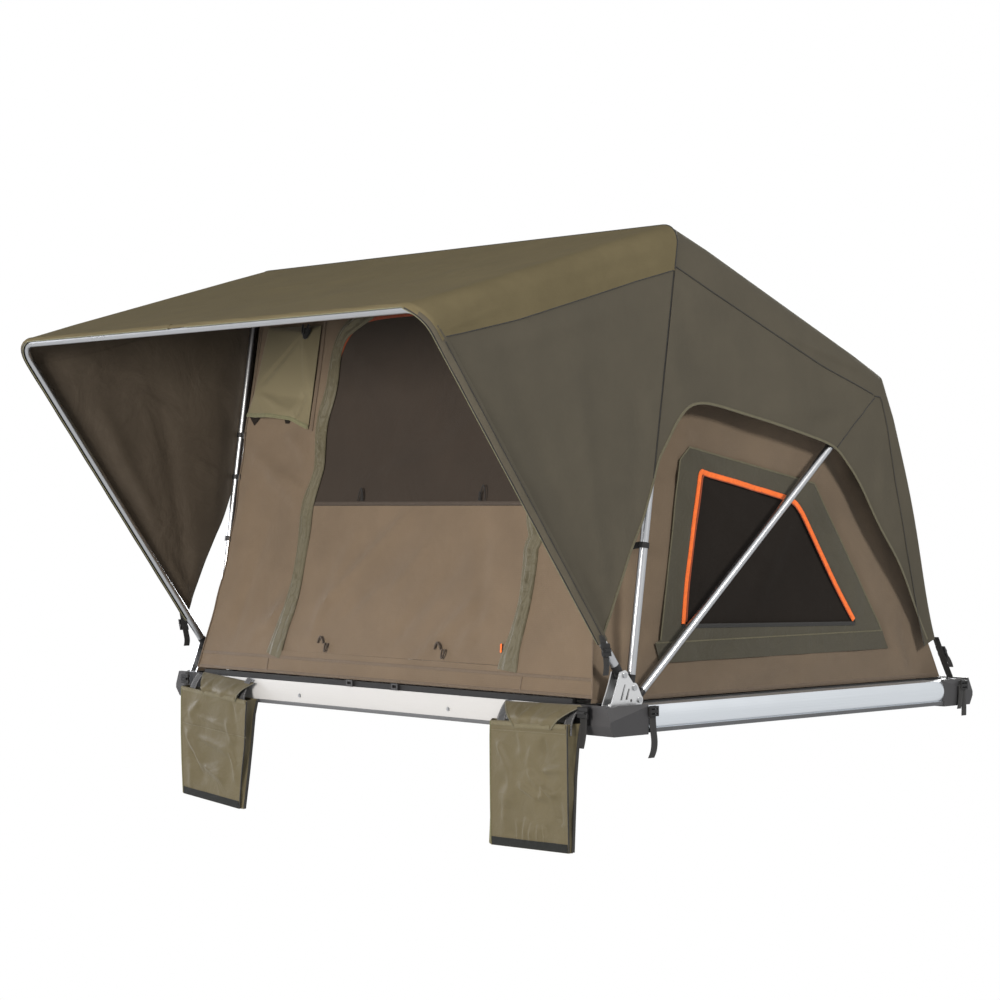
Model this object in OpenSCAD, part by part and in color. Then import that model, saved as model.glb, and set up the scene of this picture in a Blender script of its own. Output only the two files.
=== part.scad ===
// Roof top tent with three folding hoops, shown open. Millimetres.
// X runs left to right seen from the door side, Y from the door side to the rear, Z up.
// The origin is at the middle of the four roof bar bolts, on the underside of the channels.

/* [Base] */
// Width of the base, left to right
base_w = 2000; // [1998:1:2002]
// Length of the base, door side to rear
base_l = 1645; // [1640:1:1650]
// Underside of the rails above the roof bars
rail_z = 24; // [22:1:24]
// Height of the rails
rail_h = 75; // [72:1:75]
// Depth of the rails, outside to inside
rail_d = 95; // [92:1:95]
// Set-back of the rounded side rails at their top edge
rail_bulge = 9; // [4:1:10]
// Wall of the rail extrusions
rail_wall = 3; // [2:0.5:4]
// Length of a corner cap along each rail
cap_len = 150; // [140:2:156]
// Underside of the corner caps
cap_z = 20; // [18:1:22]
// Height of the raised lip round a corner cap
cap_lip = 4; // [2:1:6]
// Thickness of the floor panel
panel_t = 6; // [4:1:8]
// Thickness of the mattress
mattress_t = 69; // [50:1:70]

/* [Mounting] */
// Distance between the two mounting channels, middle to middle
bolt_dx = 800; // [700:10:900]
// Distance between the bolts along a channel
bolt_dy = 900; // [700:10:1000]
// Diameter of the bolt holes
bolt_hole_d = 8.5; // [8.5:0.5:10.5]
// Width of a mounting channel
channel_w = 60; // [50:2:80]
// Length of a mounting channel
channel_l = 1240; // [1100:10:1300]
// Wall of a mounting channel
channel_wall = 3; // [2:0.5:4]

/* [Hoops] */
// Outside diameter of the hoop tubes
tube_d = 25; // [24:0.5:25]
// Wall of the hoop tubes
tube_wall = 1.5; // [1:0.5:2]
// Middle of the hoop legs from the middle of the tent
leg_x = 951; // [950:0.5:952]
// Bend radius at the hoop corners, at the tube's middle
bend_r = 70; // [60:5:90]
// Diameter of the pivot bolts
pivot_d = 8; // [6:0.5:8]
// Radial clearance of a hoop knuckle on its bolt
pivot_gap = 0.05; // [0.03:0.01:0.1]
// Awning hoop pivot, from the middle of the base
awning_y = -735; // [-736:0.5:-734]
// Awning hoop pivot height
awning_z = 183; // [182:0.5:184]
// Awning hoop length, pivot to bar
awning_len = 1203; // [1198:1:1208]
// Awning hoop angle above the rear horizontal
awning_ang = 126.45; // [126:0.05:127]
// Ridge hoop pivot, from the middle of the base
ridge_y = -696; // [-697:0.5:-695]
// Ridge hoop pivot height
ridge_z = 147; // [146:0.5:148]
// Ridge hoop length, pivot to bar
ridge_len = 1288; // [1283:1:1293]
// Ridge hoop angle above the rear horizontal
ridge_ang = 81.86; // [81.5:0.02:82.2]
// Rear hoop pivot, from the middle of the base
rear_y = -676; // [-677:0.5:-675]
// Rear hoop pivot height
rear_z = 113; // [113:0.5:114]
// Rear hoop length, pivot to bar
rear_len = 1435; // [1430:1:1440]
// Rear hoop angle above the rear horizontal
rear_ang = 40.08; // [39.9:0.02:40.3]

/* [Fabric] */
// Thickness of the fabric solids
cloth = 3; // [2:0.5:3]
// Gap between fabric and tube
cloth_gap = 0.7; // [0.5:0.1:0.8]
// Outside faces of the inner tent's side walls
wall_x = 909; // [905:1:910]
// Outside faces of the outer fly's sides
fly_x = 968; // [968:0.5:970]
// Pleats across each gathered strip beside the door
pleats = 2; // [1:1:3]
// Width of the gathered strips
strip_w = 62; // [50:2:70]

/* [Bags] */
// Width of a shoe bag
bag_w = 375; // [360:5:380]
// Depth of a shoe bag, front to back
bag_d = 47; // [40:1:50]
// Lowest point of a shoe bag
bag_bottom = -305; // [-320:5:-280]
// Height of a shoe bag's mouth
bag_mouth = 50; // [40:2:56]
// Middle of a shoe bag from the middle of the tent
bag_x = 737; // [720:1:745]

/* [Hidden] */
$fn = 64;
half_w = base_w / 2;
half_l = base_l / 2;
rail_top = rail_z + rail_h;
floor_top = rail_z + panel_t;
tube_r = tube_d / 2;
// Least distance of the fabric's inner face from a bar's middle
wrap_in = tube_r + cloth_gap;
wrap_out = wrap_in + cloth;
// The side panels stop this far from a bar's middle, under the roof panels
wrap_side = wrap_in - 0.6;

function along(y, z, len, ang) = [y + len * cos(ang), z + len * sin(ang)];
function off(p, r, ang) = [p[0] + r * cos(ang), p[1] + r * sin(ang)];
function arc(p, r, a0, a1, n = 6) = [for (i = [0:n]) off(p, r, a0 + (a1 - a0) * i / n)];
function back(list) = [for (i = [len(list) - 1:-1:0]) list[i]];

awning_bar_at = along(awning_y, awning_z, awning_len, awning_ang);
ridge_bar_at = along(ridge_y, ridge_z, ridge_len, ridge_ang);
rear_bar_at = along(rear_y, rear_z, rear_len, rear_ang);
// Directions square to the fabric panels, as angles in the side view
roof_out = 90 + atan2(rear_bar_at[1] - ridge_bar_at[1], rear_bar_at[0] - ridge_bar_at[0]);
canopy_out = 90 + atan2(ridge_bar_at[1] - awning_bar_at[1], ridge_bar_at[0] - awning_bar_at[0]);
rear_hem = [712, 228];
rear_out = atan2(rear_hem[1] - rear_bar_at[1], rear_hem[0] - rear_bar_at[0]) + 90;
// Half of the gap left where two fly panels meet over a bar, in degrees
seam = 2;

// Side view of the inner tent: door side bottom, ridge, rear bar, rear knee, rear bottom
wall_outline = [[-797, 104], [-526, 1380], [400, 996], [700, 235], [772, 104]];
front_foot = [-803, 105];
front_head = [-530, 1387];
front_lean = atan2(front_head[0] - front_foot[0], front_head[1] - front_foot[1]);
front_run = norm(front_head - front_foot);
front_start = 14;
// Side window and the patch round it, side view
window_outline = [[-444, 309], [-363, 746], [50, 664], [85, 640], [342, 292]];
patch_outline = [[-531, 205], [-551, 262], [-470, 300], [-406, 820], [151, 716], [475, 262], [505, 205]];
// Lower edge of the fly's side, from the ridge hoop to the rear hem
arch = [[-594, 775], [-562, 836], [-512, 901], [-408, 938], [-236, 914], [32, 857],
        [210, 824], [316, 726], [503, 464], [656, 236]];
arch_start = 722;
// Rear edge of the awning's side, from the ridge hoop to the awning hoop's foot
awning_edge = [[-657, 612], [-694, 543], [-729, 473], [-775, 372], [-804, 300]];
awning_foot = 118;

// Door opening on the leaning front wall: x, and distance up the wall
door_left = -455;
door_right = 556;
door_sill = 88;
door_mid = 555;
door_head = 1172;
left_strip = [[-466, 74], [-471, 250], [-478, 380], [-489, 508], [-494, 620], [-470, 720],
              [-458, 800], [-455, 900], [-452, 1000], [-432, 1100], [-380, 1160], [-300, 1196]];
right_strip = [[541, 74], [549, 200], [562, 330], [568, 460], [566, 640], [560, 800],
               [550, 960], [530, 1080], [486, 1160], [410, 1196]];

bag_back = -830;
bag_hinge_z = 101;
bracket_in = 933;
bracket_out = 969;
bracket_t = 4;
knuckle_w = 23;
knuckle_r = 13;
spigot_end = 62;
collar_end = 36;

// Draws its children on the right and mirrored on the left
module both_sides() {
  children();
  mirror([1, 0, 0]) children();
}

// A sheet drawn in the side view, from x0 outwards
module side_sheet(points, x0, t = cloth)
  translate([x0, 0, 0]) rotate([90, 0, 90]) linear_extrude(t) polygon(points);

// A side view outline carried across the tent
module across(points, half)
  side_sheet(points, -half, 2 * half);

// Moves its children onto the leaning front wall: X across, Z up the wall, -Y outwards
module on_front_wall()
  translate([0, front_foot[0], front_foot[1]]) rotate([-front_lean, 0, 0]) children();

// A sheet on the front wall, its outer face y0 in front of the wall's outer face
module front_sheet(points, y0, t = cloth)
  translate([0, t - y0, 0]) rotate([90, 0, 0]) linear_extrude(t) polygon(points);

// Base
module base_panel()
  color("dimgray") translate([-half_w + rail_d, -half_l + rail_d, rail_z])
    cube([base_w - 2 * rail_d, base_l - 2 * rail_d, panel_t]);

mattress_w = base_w - 2 * rail_d - 20;
mattress_l = base_l - 2 * rail_d - 20;
mat_n = 24;
mat_m = 18;
function mat_edge(half, v, dip) = half - dip * (1 - pow(v, 4));
function mat_full(u, v) = pow(max(0, (1 - pow(u, 8)) * (1 - pow(v, 8))), 0.3);
function mat_spread(t) = sin(90 * t);
module mattress() {
  seam_z = floor_top + 0.3 + mattress_t * 0.42;
  function point(i, j, up) = let(u = mat_spread(2 * i / mat_n - 1), v = mat_spread(2 * j / mat_m - 1))
    [u * mat_edge(mattress_w / 2, v, 9), v * mat_edge(mattress_l / 2, u, 9),
     seam_z + mat_full(u, v) * (up ? mattress_t * 0.58 : -mattress_t * 0.42)];
  cols = mat_m + 1;
  count = (mat_n + 1) * cols;
  top = [for (i = [0:mat_n], j = [0:mat_m]) point(i, j, true)];
  // The seam's points belong to both faces, so the bottom holds only the inner ones
  bottom = [for (i = [1:mat_n - 1], j = [1:mat_m - 1]) point(i, j, false)];
  function low(i, j) = i == 0 || j == 0 || i == mat_n || j == mat_m
    ? i * cols + j : count + (i - 1) * (mat_m - 1) + j - 1;
  // The diagonals run out to all four corners, so that no triangle has all its points on the seam
  function halves(a, b, c, d, out) = out ? [[a, b, c], [a, c, d]] : [[a, b, d], [b, c, d]];
  faces = [for (i = [0:mat_n - 1], j = [0:mat_m - 1]) let(out = (i < mat_n / 2) == (j < mat_m / 2)) each concat(
    halves(i * cols + j, i * cols + j + 1, (i + 1) * cols + j + 1, (i + 1) * cols + j, out),
    [for (f = halves(low(i, j), low(i, j + 1), low(i + 1, j + 1), low(i + 1, j), out)) [f[0], f[2], f[1]]])];
  color("gray") polyhedron(concat(top, bottom), faces);
}

// Section of a rail: depth from the outer face, then height
strip_h = 12;
module rail_section(bulge) {
  n = 8;
  face = [for (i = [0:n]) let(t = 2 * i / n - 1) [bulge * t * t, strip_h + (rail_h - strip_h) * i / n]];
  difference() {
    polygon(concat([[rail_d, 0], [bulge / 2 + 2, 0], [bulge / 2 + 2, strip_h]], face, [[rail_d, rail_h]]));
    translate([bulge + rail_wall, rail_wall])
      square([rail_d - bulge - 2 * rail_wall, rail_h - 2 * rail_wall]);
  }
}

module side_rail(bulge)
  translate([half_w, half_l - cap_len, rail_z]) rotate([90, 0, 0])
    linear_extrude(base_l - 2 * cap_len) mirror([1, 0]) rail_section(bulge);

module end_rail(bulge)
  translate([-half_w + cap_len, half_l, rail_z]) rotate([90, 0, 90])
    linear_extrude(base_w - 2 * cap_len) mirror([1, 0]) rail_section(bulge);

module left_rail() color("silver") mirror([1, 0, 0]) side_rail(rail_bulge);
module right_rail() color("silver") side_rail(rail_bulge);
module rear_rail() color("silver") end_rail(4);
module front_rail() color("whitesmoke") mirror([0, 1, 0]) end_rail(4);

// Corner cap of the right front corner, with its outer corner at the origin
cap_wall = 5;
cap_chamfer = [15, 28];
cap_facet = [16, 38];
module corner_cap() {
  h = rail_top - cap_z;
  outline = [[0, 0], [-cap_len, 0], [-cap_len, rail_d], [-rail_d, rail_d], [-rail_d, cap_len], [0, cap_len]];
  hollow = [[-cap_wall - 12, cap_wall + 12], [-cap_len - 1, cap_wall + 12],
    [-cap_len - 1, rail_d - cap_wall], [-rail_d + cap_wall, rail_d - cap_wall],
    [-rail_d + cap_wall, cap_len + 1], [-cap_wall - 12, cap_len + 1]];
  difference() {
    union() {
      linear_extrude(h) polygon(outline);
      translate([-cap_len, 0, h]) cube([cap_len, 12, cap_lip]);
      translate([-12, 0, h]) cube([12, cap_len, cap_lip]);
    }
    translate([0, 0, cap_wall]) linear_extrude(h - 2 * cap_wall) polygon(hollow);
    // Sloping facets under the front edge and along the top of the side
    translate([-cap_len - 1, 0, 0]) rotate([90, 0, 90]) linear_extrude(cap_len + 2)
      polygon([[-1, -1], [cap_chamfer[0], -1], [cap_chamfer[0], 0], [0, cap_chamfer[1]], [-1, cap_chamfer[1]]]);
    above_plane([0, 0, h - cap_facet[1]], [0, cap_len + 20, h + cap_lip], [-cap_facet[0], 0, h + cap_lip])
      translate([-500, -500, 0]) cube([1000, 1000, 300]);
  }
}

// Lays the floor of its children on the plane through three points
module above_plane(p, q, r) {
  n = cross(q - p, r - p);
  up = n[2] < 0 ? -n : n;
  translate(p) rotate(a = acos(up[2] / norm(up)), v = cross([0, 0, 1], up)) children();
}

module cap_at(side, end)
  color([0.17, 0.17, 0.18]) mirror([side < 0 ? 1 : 0, 0, 0]) mirror([0, end > 0 ? 1 : 0, 0])
    translate([half_w, -half_l, cap_z]) corner_cap();
module front_left_cap() cap_at(-1, -1);
module front_right_cap() cap_at(1, -1);
module rear_left_cap() cap_at(-1, 1);
module rear_right_cap() cap_at(1, 1);

// A domed screw head on a face that looks towards -Y
module screw_head(r, h)
  rotate([90, 0, 0]) union() {
    cylinder(r = r, h = h * 0.6);
    cylinder(r = r * 0.7, h = h);
  }

module rail_screws()
  color("silver") for (x = [-345, 345]) {
    translate([x, -half_l - 0.2, rail_z + 34]) screw_head(6, 3);
    mirror([0, 1, 0]) translate([x, -half_l - 0.2, rail_z + 34]) screw_head(6, 3);
  }

module mount_channels()
  color("silver") both_sides() difference() {
    translate([(bolt_dx - channel_w) / 2, -channel_l / 2, 0]) cube([channel_w, channel_l, rail_z]);
    translate([(bolt_dx - channel_w) / 2 + channel_wall, -channel_l / 2 - 1, channel_wall])
      cube([channel_w - 2 * channel_wall, channel_l + 2, rail_z - 2 * channel_wall]);
    for (y = [-bolt_dy / 2, bolt_dy / 2])
      translate([bolt_dx / 2, y, -1]) cylinder(d = bolt_hole_d, h = channel_wall + 2);
  }

// Hinge brackets
module bracket_plate(x0)
  side_sheet_cut(x0) {
    union() {
      polygon([[-790, rail_top], [-667, rail_top], [-662, rail_top + 14], [-682, ridge_z + 5],
        [-700, ridge_z + 13], [-722, awning_z + 2], [-735, awning_z + 14], [-752, awning_z + 10],
        [-762, 165], [-772, 140]]);
      for (p = [[awning_y, awning_z], [ridge_y, ridge_z], [rear_y, rear_z]])
        translate(p) circle(r = 14);
    }
    union() {
      for (p = [[awning_y, awning_z], [ridge_y, ridge_z], [rear_y, rear_z]])
        translate(p) circle(r = pivot_d / 2 + 0.1);
      polygon([[-752, 116], [-743, 116], [-730, 158], [-736, 158]]);
      polygon([[-732, 116], [-723, 116], [-714, 146], [-720, 146]]);
      translate([-709, 113]) circle(r = 4);
    }
  }

module side_sheet_cut(x0)
  translate([x0, 0, 0]) rotate([90, 0, 90]) linear_extrude(bracket_t) difference() {
    children(0);
    // Keeps the ears from reaching below the foot
    translate([-900, rail_top - 50]) square([400, 50]);
    children(1);
  }

module hinge_bracket() color("silver") difference() {
  union() {
    bracket_plate(bracket_out - bracket_t);
    bracket_plate(bracket_in);
    translate([bracket_in, -788, rail_top]) cube([bracket_out - bracket_in, 82, bracket_t - 1]);
  }
  for (y = [-775, -722]) translate([leg_x, y, rail_top - 1]) cylinder(r = 3.2, h = 8);
}
module right_hinge_bracket() hinge_bracket();
module left_hinge_bracket() mirror([1, 0, 0]) hinge_bracket();

module bracket_screws()
  color("dimgray") both_sides() for (y = [-775, -722])
    translate([leg_x, y, rail_top + bracket_t - 1]) cylinder(r = 5.5, h = 3.5);

module pivot_bolts(y, z)
  color("darkgray") both_sides() translate([0, y, z]) rotate([0, 90, 0]) {
    translate([0, 0, bracket_in - 5]) cylinder(d = pivot_d, h = bracket_out - bracket_in + 6);
    translate([0, 0, bracket_out + 0.2]) cylinder(r = 7.5, h = 4);
    translate([0, 0, bracket_in - 6.7]) cylinder(r = 7.5, h = 6.5, $fn = 6);
  }
module awning_pivot_bolts() pivot_bolts(awning_y, awning_z);
module ridge_pivot_bolts() pivot_bolts(ridge_y, ridge_z);
module rear_pivot_bolts() pivot_bolts(rear_y, rear_z);

// Trim round the base
track_h = 17;
module hem_track() color([0.1, 0.1, 0.1]) {
  translate([-half_w + cap_len + 1, -half_l + 6, rail_top]) cube([base_w - 2 * cap_len - 2, 16, track_h]);
  translate([-wall_x, half_l - 56, rail_top]) cube([2 * wall_x, 16, 4]);
  both_sides() translate([wall_x - 3, -half_l + 26, rail_top]) cube([16, base_l - 84, 4]);
}

module cover_clips()
  color([0.1, 0.1, 0.1]) both_sides() translate([90, -half_l, rail_top]) difference() {
    cube([30, 5.6, 20]);
    translate([6, -1, 7]) cube([18, 8, 8]);
  }

strap_w = 25;
module cover_straps() color([0.08, 0.08, 0.08]) both_sides() {
  translate([half_w + 0.3, -658 - strap_w / 2, -46]) cube([2, strap_w, 140]);
  translate([half_w + 0.3, 767 - strap_w / 2, -14]) cube([2, strap_w, 112]);
}

module strap_buckles() color([0.1, 0.1, 0.1]) both_sides() for (y = [-658, 767])
  translate([half_w + 2.5, y - 17, rail_top - 30]) difference() {
    cube([7, 34, 28]);
    translate([-1, 4.5, 5]) cube([9, 25, 4]);
    translate([-1, 4.5, 18]) cube([9, 25, 4]);
  }

module fly_straps() color([0.08, 0.08, 0.08]) both_sides()
  side_sheet([[729, 232], [806, 102], [808.4, 102], [731.4, 233]], 912, strap_w);

// Inner tent
module front_wall() color("tan") on_front_wall() difference() {
  front_sheet([[-wall_x, front_start], [wall_x, front_start], [wall_x, front_run - 4], [-wall_x, front_run - 4]], 0);
  translate([0, 1, 0]) front_sheet([[door_left, door_sill], [door_right, door_sill],
    [door_right, door_head - 90], [door_right - 70, door_head], [door_left + 70, door_head],
    [door_left, door_head - 90]], 2, 6);
}
module door_panel() color("tan") on_front_wall()
  front_sheet([[door_left + 1, door_sill + 1], [door_right - 1, door_sill + 1],
    [door_right - 1, door_mid], [door_left + 1, door_mid]], 0);
module door_mesh() color([0.2, 0.18, 0.16]) on_front_wall()
  front_sheet([[door_left + 1, door_mid + 1], [door_right - 1, door_mid + 1],
    [door_right - 1, door_head - 91], [door_right - 71, door_head - 1],
    [door_left + 71, door_head - 1], [door_left + 1, door_head - 91]], 0);

// A gathered strip of cloth along a path up the front wall, pleated across its width
strip_n = 16;
strip_t = 2.5;
function strip_side(path, i) = let(d = path[min(i + 1, len(path) - 1)] - path[max(i - 1, 0)])
  [d[1], -d[0]] / norm(d);
function strip_lift(t) = 2 + strip_t + 9 * sin(180 * t) * (0.62 + 0.38 * cos(360 * pleats * t));
module gathered_strip(path) {
  ring = 2 * (strip_n + 1);
  rings = len(path);
  points = [for (i = [0:rings - 1], k = [0:ring - 1])
    let(outer = k <= strip_n, t = (outer ? k : ring - 1 - k) / strip_n,
        p = path[i] + strip_side(path, i) * strip_w * (t - 0.5))
    [p[0], -strip_lift(t) + (outer ? 0 : strip_t), p[1]]];
  walls = [for (i = [0:rings - 2], k = [0:ring - 1]) let(n = (k + 1) % ring) each [
    [i * ring + k, (i + 1) * ring + k, (i + 1) * ring + n],
    [i * ring + k, (i + 1) * ring + n, i * ring + n]]];
  ends = [for (k = [0:strip_n - 1]) each [
    [k, k + 1, ring - 2 - k], [k, ring - 2 - k, ring - 1 - k]]];
  last = (rings - 1) * ring;
  far = [for (f = ends) [f[0] + last, f[2] + last, f[1] + last]];
  polyhedron(points, concat(walls, ends, far));
}
module door_strips() color("olive") on_front_wall() {
  gathered_strip(left_strip);
  gathered_strip(right_strip);
}

module vent_hood() color("olive") on_front_wall() {
  front_sheet([[-886, 850], [-862, 1155], [-560, 1155], [-530, 805], [-700, 838]], 7.5);
  translate([0, 0, 1155.5]) front_sheet([[-862, 0], [-560, 0], [-560, 4], [-862, 4]], 7.5, 7);
}

module side_wall() color("tan") difference() {
  side_sheet(wall_outline, wall_x - cloth);
  side_sheet(window_outline, wall_x - cloth - 1, cloth + 2);
}
module right_wall() side_wall();
module left_wall() mirror([1, 0, 0]) side_wall();

module window_frames() color([0.36, 0.36, 0.29]) both_sides() difference() {
  side_sheet(patch_outline, wall_x + 0.5);
  side_sheet(window_outline, wall_x, cloth + 2);
}
module window_meshes() color([0.18, 0.17, 0.16]) both_sides()
  scale_about([-60, 480], 0.993) side_sheet(window_outline, wall_x - cloth);
module scale_about(p, k)
  translate([0, p[0], p[1]]) scale([1, k, k]) translate([0, -p[0], -p[1]]) children();

module rear_wall() color("tan") across(
  [[402, 998], [702, 236], [774, 104], [776.7, 105.3], [704.8, 237.3], [404.8, 999.1]], wall_x);
module ceiling() color("tan") across(
  [[-524, 1383.5], [398, 1000.5], [399.2, 1003.3], [-522.8, 1386.3]], wall_x);

// Outer fly, fixed part from the ridge to the rear
module fly_roof() color([0.29, 0.29, 0.23]) across(concat(
  arc(ridge_bar_at, wrap_in, 87 - seam, roof_out), arc(rear_bar_at, wrap_in, roof_out, 44 + seam),
  arc(rear_bar_at, wrap_out, 44 + seam, roof_out), arc(ridge_bar_at, wrap_out, roof_out, 87 - seam)), fly_x);

module fly_rear() color([0.29, 0.29, 0.23]) across(concat(
  arc(rear_bar_at, wrap_in, 44 - seam, rear_out), [rear_hem + wrap_in * [cos(rear_out), sin(rear_out)]],
  [rear_hem + wrap_out * [cos(rear_out), sin(rear_out)]], arc(rear_bar_at, wrap_out, rear_out, 44 - seam)), fly_x);

function on_ridge_leg(z, shift) = [ridge_y + (z - ridge_z) / tan(ridge_ang) + shift, z];
module fly_side() color([0.29, 0.29, 0.23]) side_sheet(concat(
  [on_ridge_leg(arch_start, 1), on_ridge_leg(ridge_bar_at[1], 1), off(ridge_bar_at, wrap_side, roof_out)],
  arc(rear_bar_at, wrap_side, roof_out, rear_out, 3),
  [rear_hem + wrap_side * [cos(rear_out), sin(rear_out)]], back(arch)), fly_x - cloth);
module right_fly_side() fly_side();
module left_fly_side() mirror([1, 0, 0]) fly_side();

// Awning part of the fly, carried by the awning hoop
module awning_canopy() color([0.46, 0.43, 0.31]) across(concat(
  arc(ridge_bar_at, wrap_in, 87 + seam, canopy_out), arc(awning_bar_at, wrap_in, canopy_out, 230, 12),
  arc(awning_bar_at, wrap_out, 230, canopy_out, 12), arc(ridge_bar_at, wrap_out, canopy_out, 87 + seam)), fly_x);

module awning_side() color([0.29, 0.29, 0.23]) side_sheet(concat(
  [off(along(awning_y, awning_z, awning_foot, awning_ang), wrap_side, awning_ang + 90)],
  arc(awning_bar_at, wrap_side, awning_ang + 90, canopy_out, 6),
  [off(ridge_bar_at, wrap_side, canopy_out + 2), on_ridge_leg(ridge_bar_at[1] + 6, -2),
   on_ridge_leg(arch_start, -1)], awning_edge), fly_x - cloth);
module right_awning_side() awning_side();
module left_awning_side() mirror([1, 0, 0]) awning_side();

// Hoops: each is drawn lying along +Y from its pivot, then swung up to its angle
module hoop(y, z, ang) translate([0, y, z]) rotate([ang, 0, 0]) children();
module awning_place() hoop(awning_y, awning_z, awning_ang) children();
module ridge_place() hoop(ridge_y, ridge_z, ridge_ang) children();
module rear_place() hoop(rear_y, rear_z, rear_ang) children();

module tube_section() difference() {
  circle(r = tube_r);
  circle(r = tube_r - tube_wall);
}
module hoop_bar(len) color("silver")
  translate([-leg_x + bend_r, len, 0]) rotate([90, 0, 90]) linear_extrude(2 * (leg_x - bend_r)) tube_section();
module hoop_legs(len) color("silver") both_sides()
  translate([leg_x, len - bend_r, 0]) rotate([90, 0, 0]) linear_extrude(len - bend_r - collar_end) tube_section();
module hoop_corners(len) color("silver") both_sides()
  translate([leg_x - bend_r, len - bend_r, 0]) rotate_extrude(angle = 90) translate([bend_r, 0]) tube_section();
module hoop_knuckles() color([0.1, 0.1, 0.1]) both_sides() translate([leg_x, 0, 0]) difference() {
  union() {
    translate([-knuckle_w / 2, 0, 0]) rotate([0, 90, 0]) cylinder(r = knuckle_r, h = knuckle_w);
    rotate([-90, 0, 0]) cylinder(r = 11, h = collar_end);
    translate([0, 14, 0]) rotate([-90, 0, 0]) cylinder(r = knuckle_r, h = collar_end - 14);
    rotate([-90, 0, 0]) cylinder(r = tube_r - tube_wall - 0.05, h = spigot_end);
  }
  translate([-knuckle_w, 0, 0]) rotate([0, 90, 0]) cylinder(r = pivot_d / 2 + pivot_gap, h = 2 * knuckle_w);
}

module awning_bar() awning_place() hoop_bar(awning_len);
module awning_legs() awning_place() hoop_legs(awning_len);
module awning_corners() awning_place() hoop_corners(awning_len);
module awning_knuckles() awning_place() hoop_knuckles();
module ridge_bar() ridge_place() hoop_bar(ridge_len);
module ridge_legs() ridge_place() hoop_legs(ridge_len);
module ridge_corners() ridge_place() hoop_corners(ridge_len);
module ridge_knuckles() ridge_place() hoop_knuckles();
module rear_bar() rear_place() hoop_bar(rear_len);
module rear_legs() rear_place() hoop_legs(rear_len);
module rear_corners() rear_place() hoop_corners(rear_len);
module rear_knuckles() rear_place() hoop_knuckles();

// Clips that hold the inner tent to the ridge hoop's legs
module ridge_clips() ridge_place() color([0.1, 0.1, 0.1]) both_sides() for (d = [395, 603, 745])
  translate([leg_x, d, 0]) difference() {
    union() {
      rotate([90, 0, 0]) cylinder(r = tube_r + 3, h = 16, center = true);
      translate([-28, -8, -4]) cube([20, 16, 8]);
    }
    rotate([90, 0, 0]) cylinder(r = tube_r + 0.1, h = 20, center = true);
    // Flat on the outside, where the fly's side lies against it
    translate([tube_r + 1.1, -10, -20]) cube([10, 20, 40]);
  }

// Shoe bags
module bag_pouch(x) color([0.47, 0.44, 0.33]) translate([x - bag_w / 2, bag_back - bag_d, bag_bottom])
  difference() {
    cube([bag_w, bag_d, bag_mouth - bag_bottom]);
    translate([cloth, cloth, cloth]) cube([bag_w - 2 * cloth, bag_d - 2 * cloth, bag_mouth - bag_bottom]);
  }
flap_low = 20;
flap_t = 1.8;
module bag_flap(x) color([0.44, 0.42, 0.31]) {
  front = bag_back - bag_d;
  intersection() {
    translate([x, 0, 0]) across([[bag_back, bag_hinge_z], [bag_back - 2, bag_hinge_z + 1],
      [front - 0.8 - flap_t, bag_mouth + 2], [front - 0.8 - flap_t, flap_low],
      [front - 0.8, flap_low], [front - 0.8, bag_mouth + 1]], bag_w / 2);
    translate([x, 0, 0]) rotate([90, 0, 0]) linear_extrude(2000)
      polygon([[-178, 110], [178, 110], [100, flap_low - 1], [-100, flap_low - 1]]);
  }
}
module bag_loops(x) color([0.15, 0.15, 0.14]) for (dx = [-150, 150])
  translate([x + dx - 12.5, bag_back + 0.3, bag_mouth - 30]) cube([25, 2, bag_hinge_z - bag_mouth + 30]);

module left_bag_pouch() bag_pouch(-bag_x);
module left_bag_flap() bag_flap(-bag_x);
module left_bag_loops() bag_loops(-bag_x);
module right_bag_pouch() bag_pouch(bag_x);
module right_bag_flap() bag_flap(bag_x);
module right_bag_loops() bag_loops(bag_x);

base_panel();
mattress();
front_rail();
rear_rail();
left_rail();
right_rail();
front_left_cap();
front_right_cap();
rear_left_cap();
rear_right_cap();
rail_screws();
mount_channels();
left_hinge_bracket();
right_hinge_bracket();
bracket_screws();
awning_pivot_bolts();
ridge_pivot_bolts();
rear_pivot_bolts();
cover_clips();
hem_track();
cover_straps();
strap_buckles();
fly_straps();
front_wall();
rear_wall();
left_wall();
right_wall();
ceiling();
door_panel();
door_mesh();
door_strips();
vent_hood();
window_frames();
window_meshes();
fly_roof();
fly_rear();
left_fly_side();
right_fly_side();
awning_bar();
awning_corners();
awning_legs();
awning_knuckles();
awning_canopy();
left_awning_side();
right_awning_side();
ridge_bar();
ridge_corners();
ridge_legs();
ridge_knuckles();
ridge_clips();
rear_bar();
rear_corners();
rear_legs();
rear_knuckles();
left_bag_pouch();
left_bag_flap();
left_bag_loops();
right_bag_pouch();
right_bag_flap();
right_bag_loops();
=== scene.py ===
import math

import bpy
import numpy as np
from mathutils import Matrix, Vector
from mathutils.geometry import delaunay_2d_cdt


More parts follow.
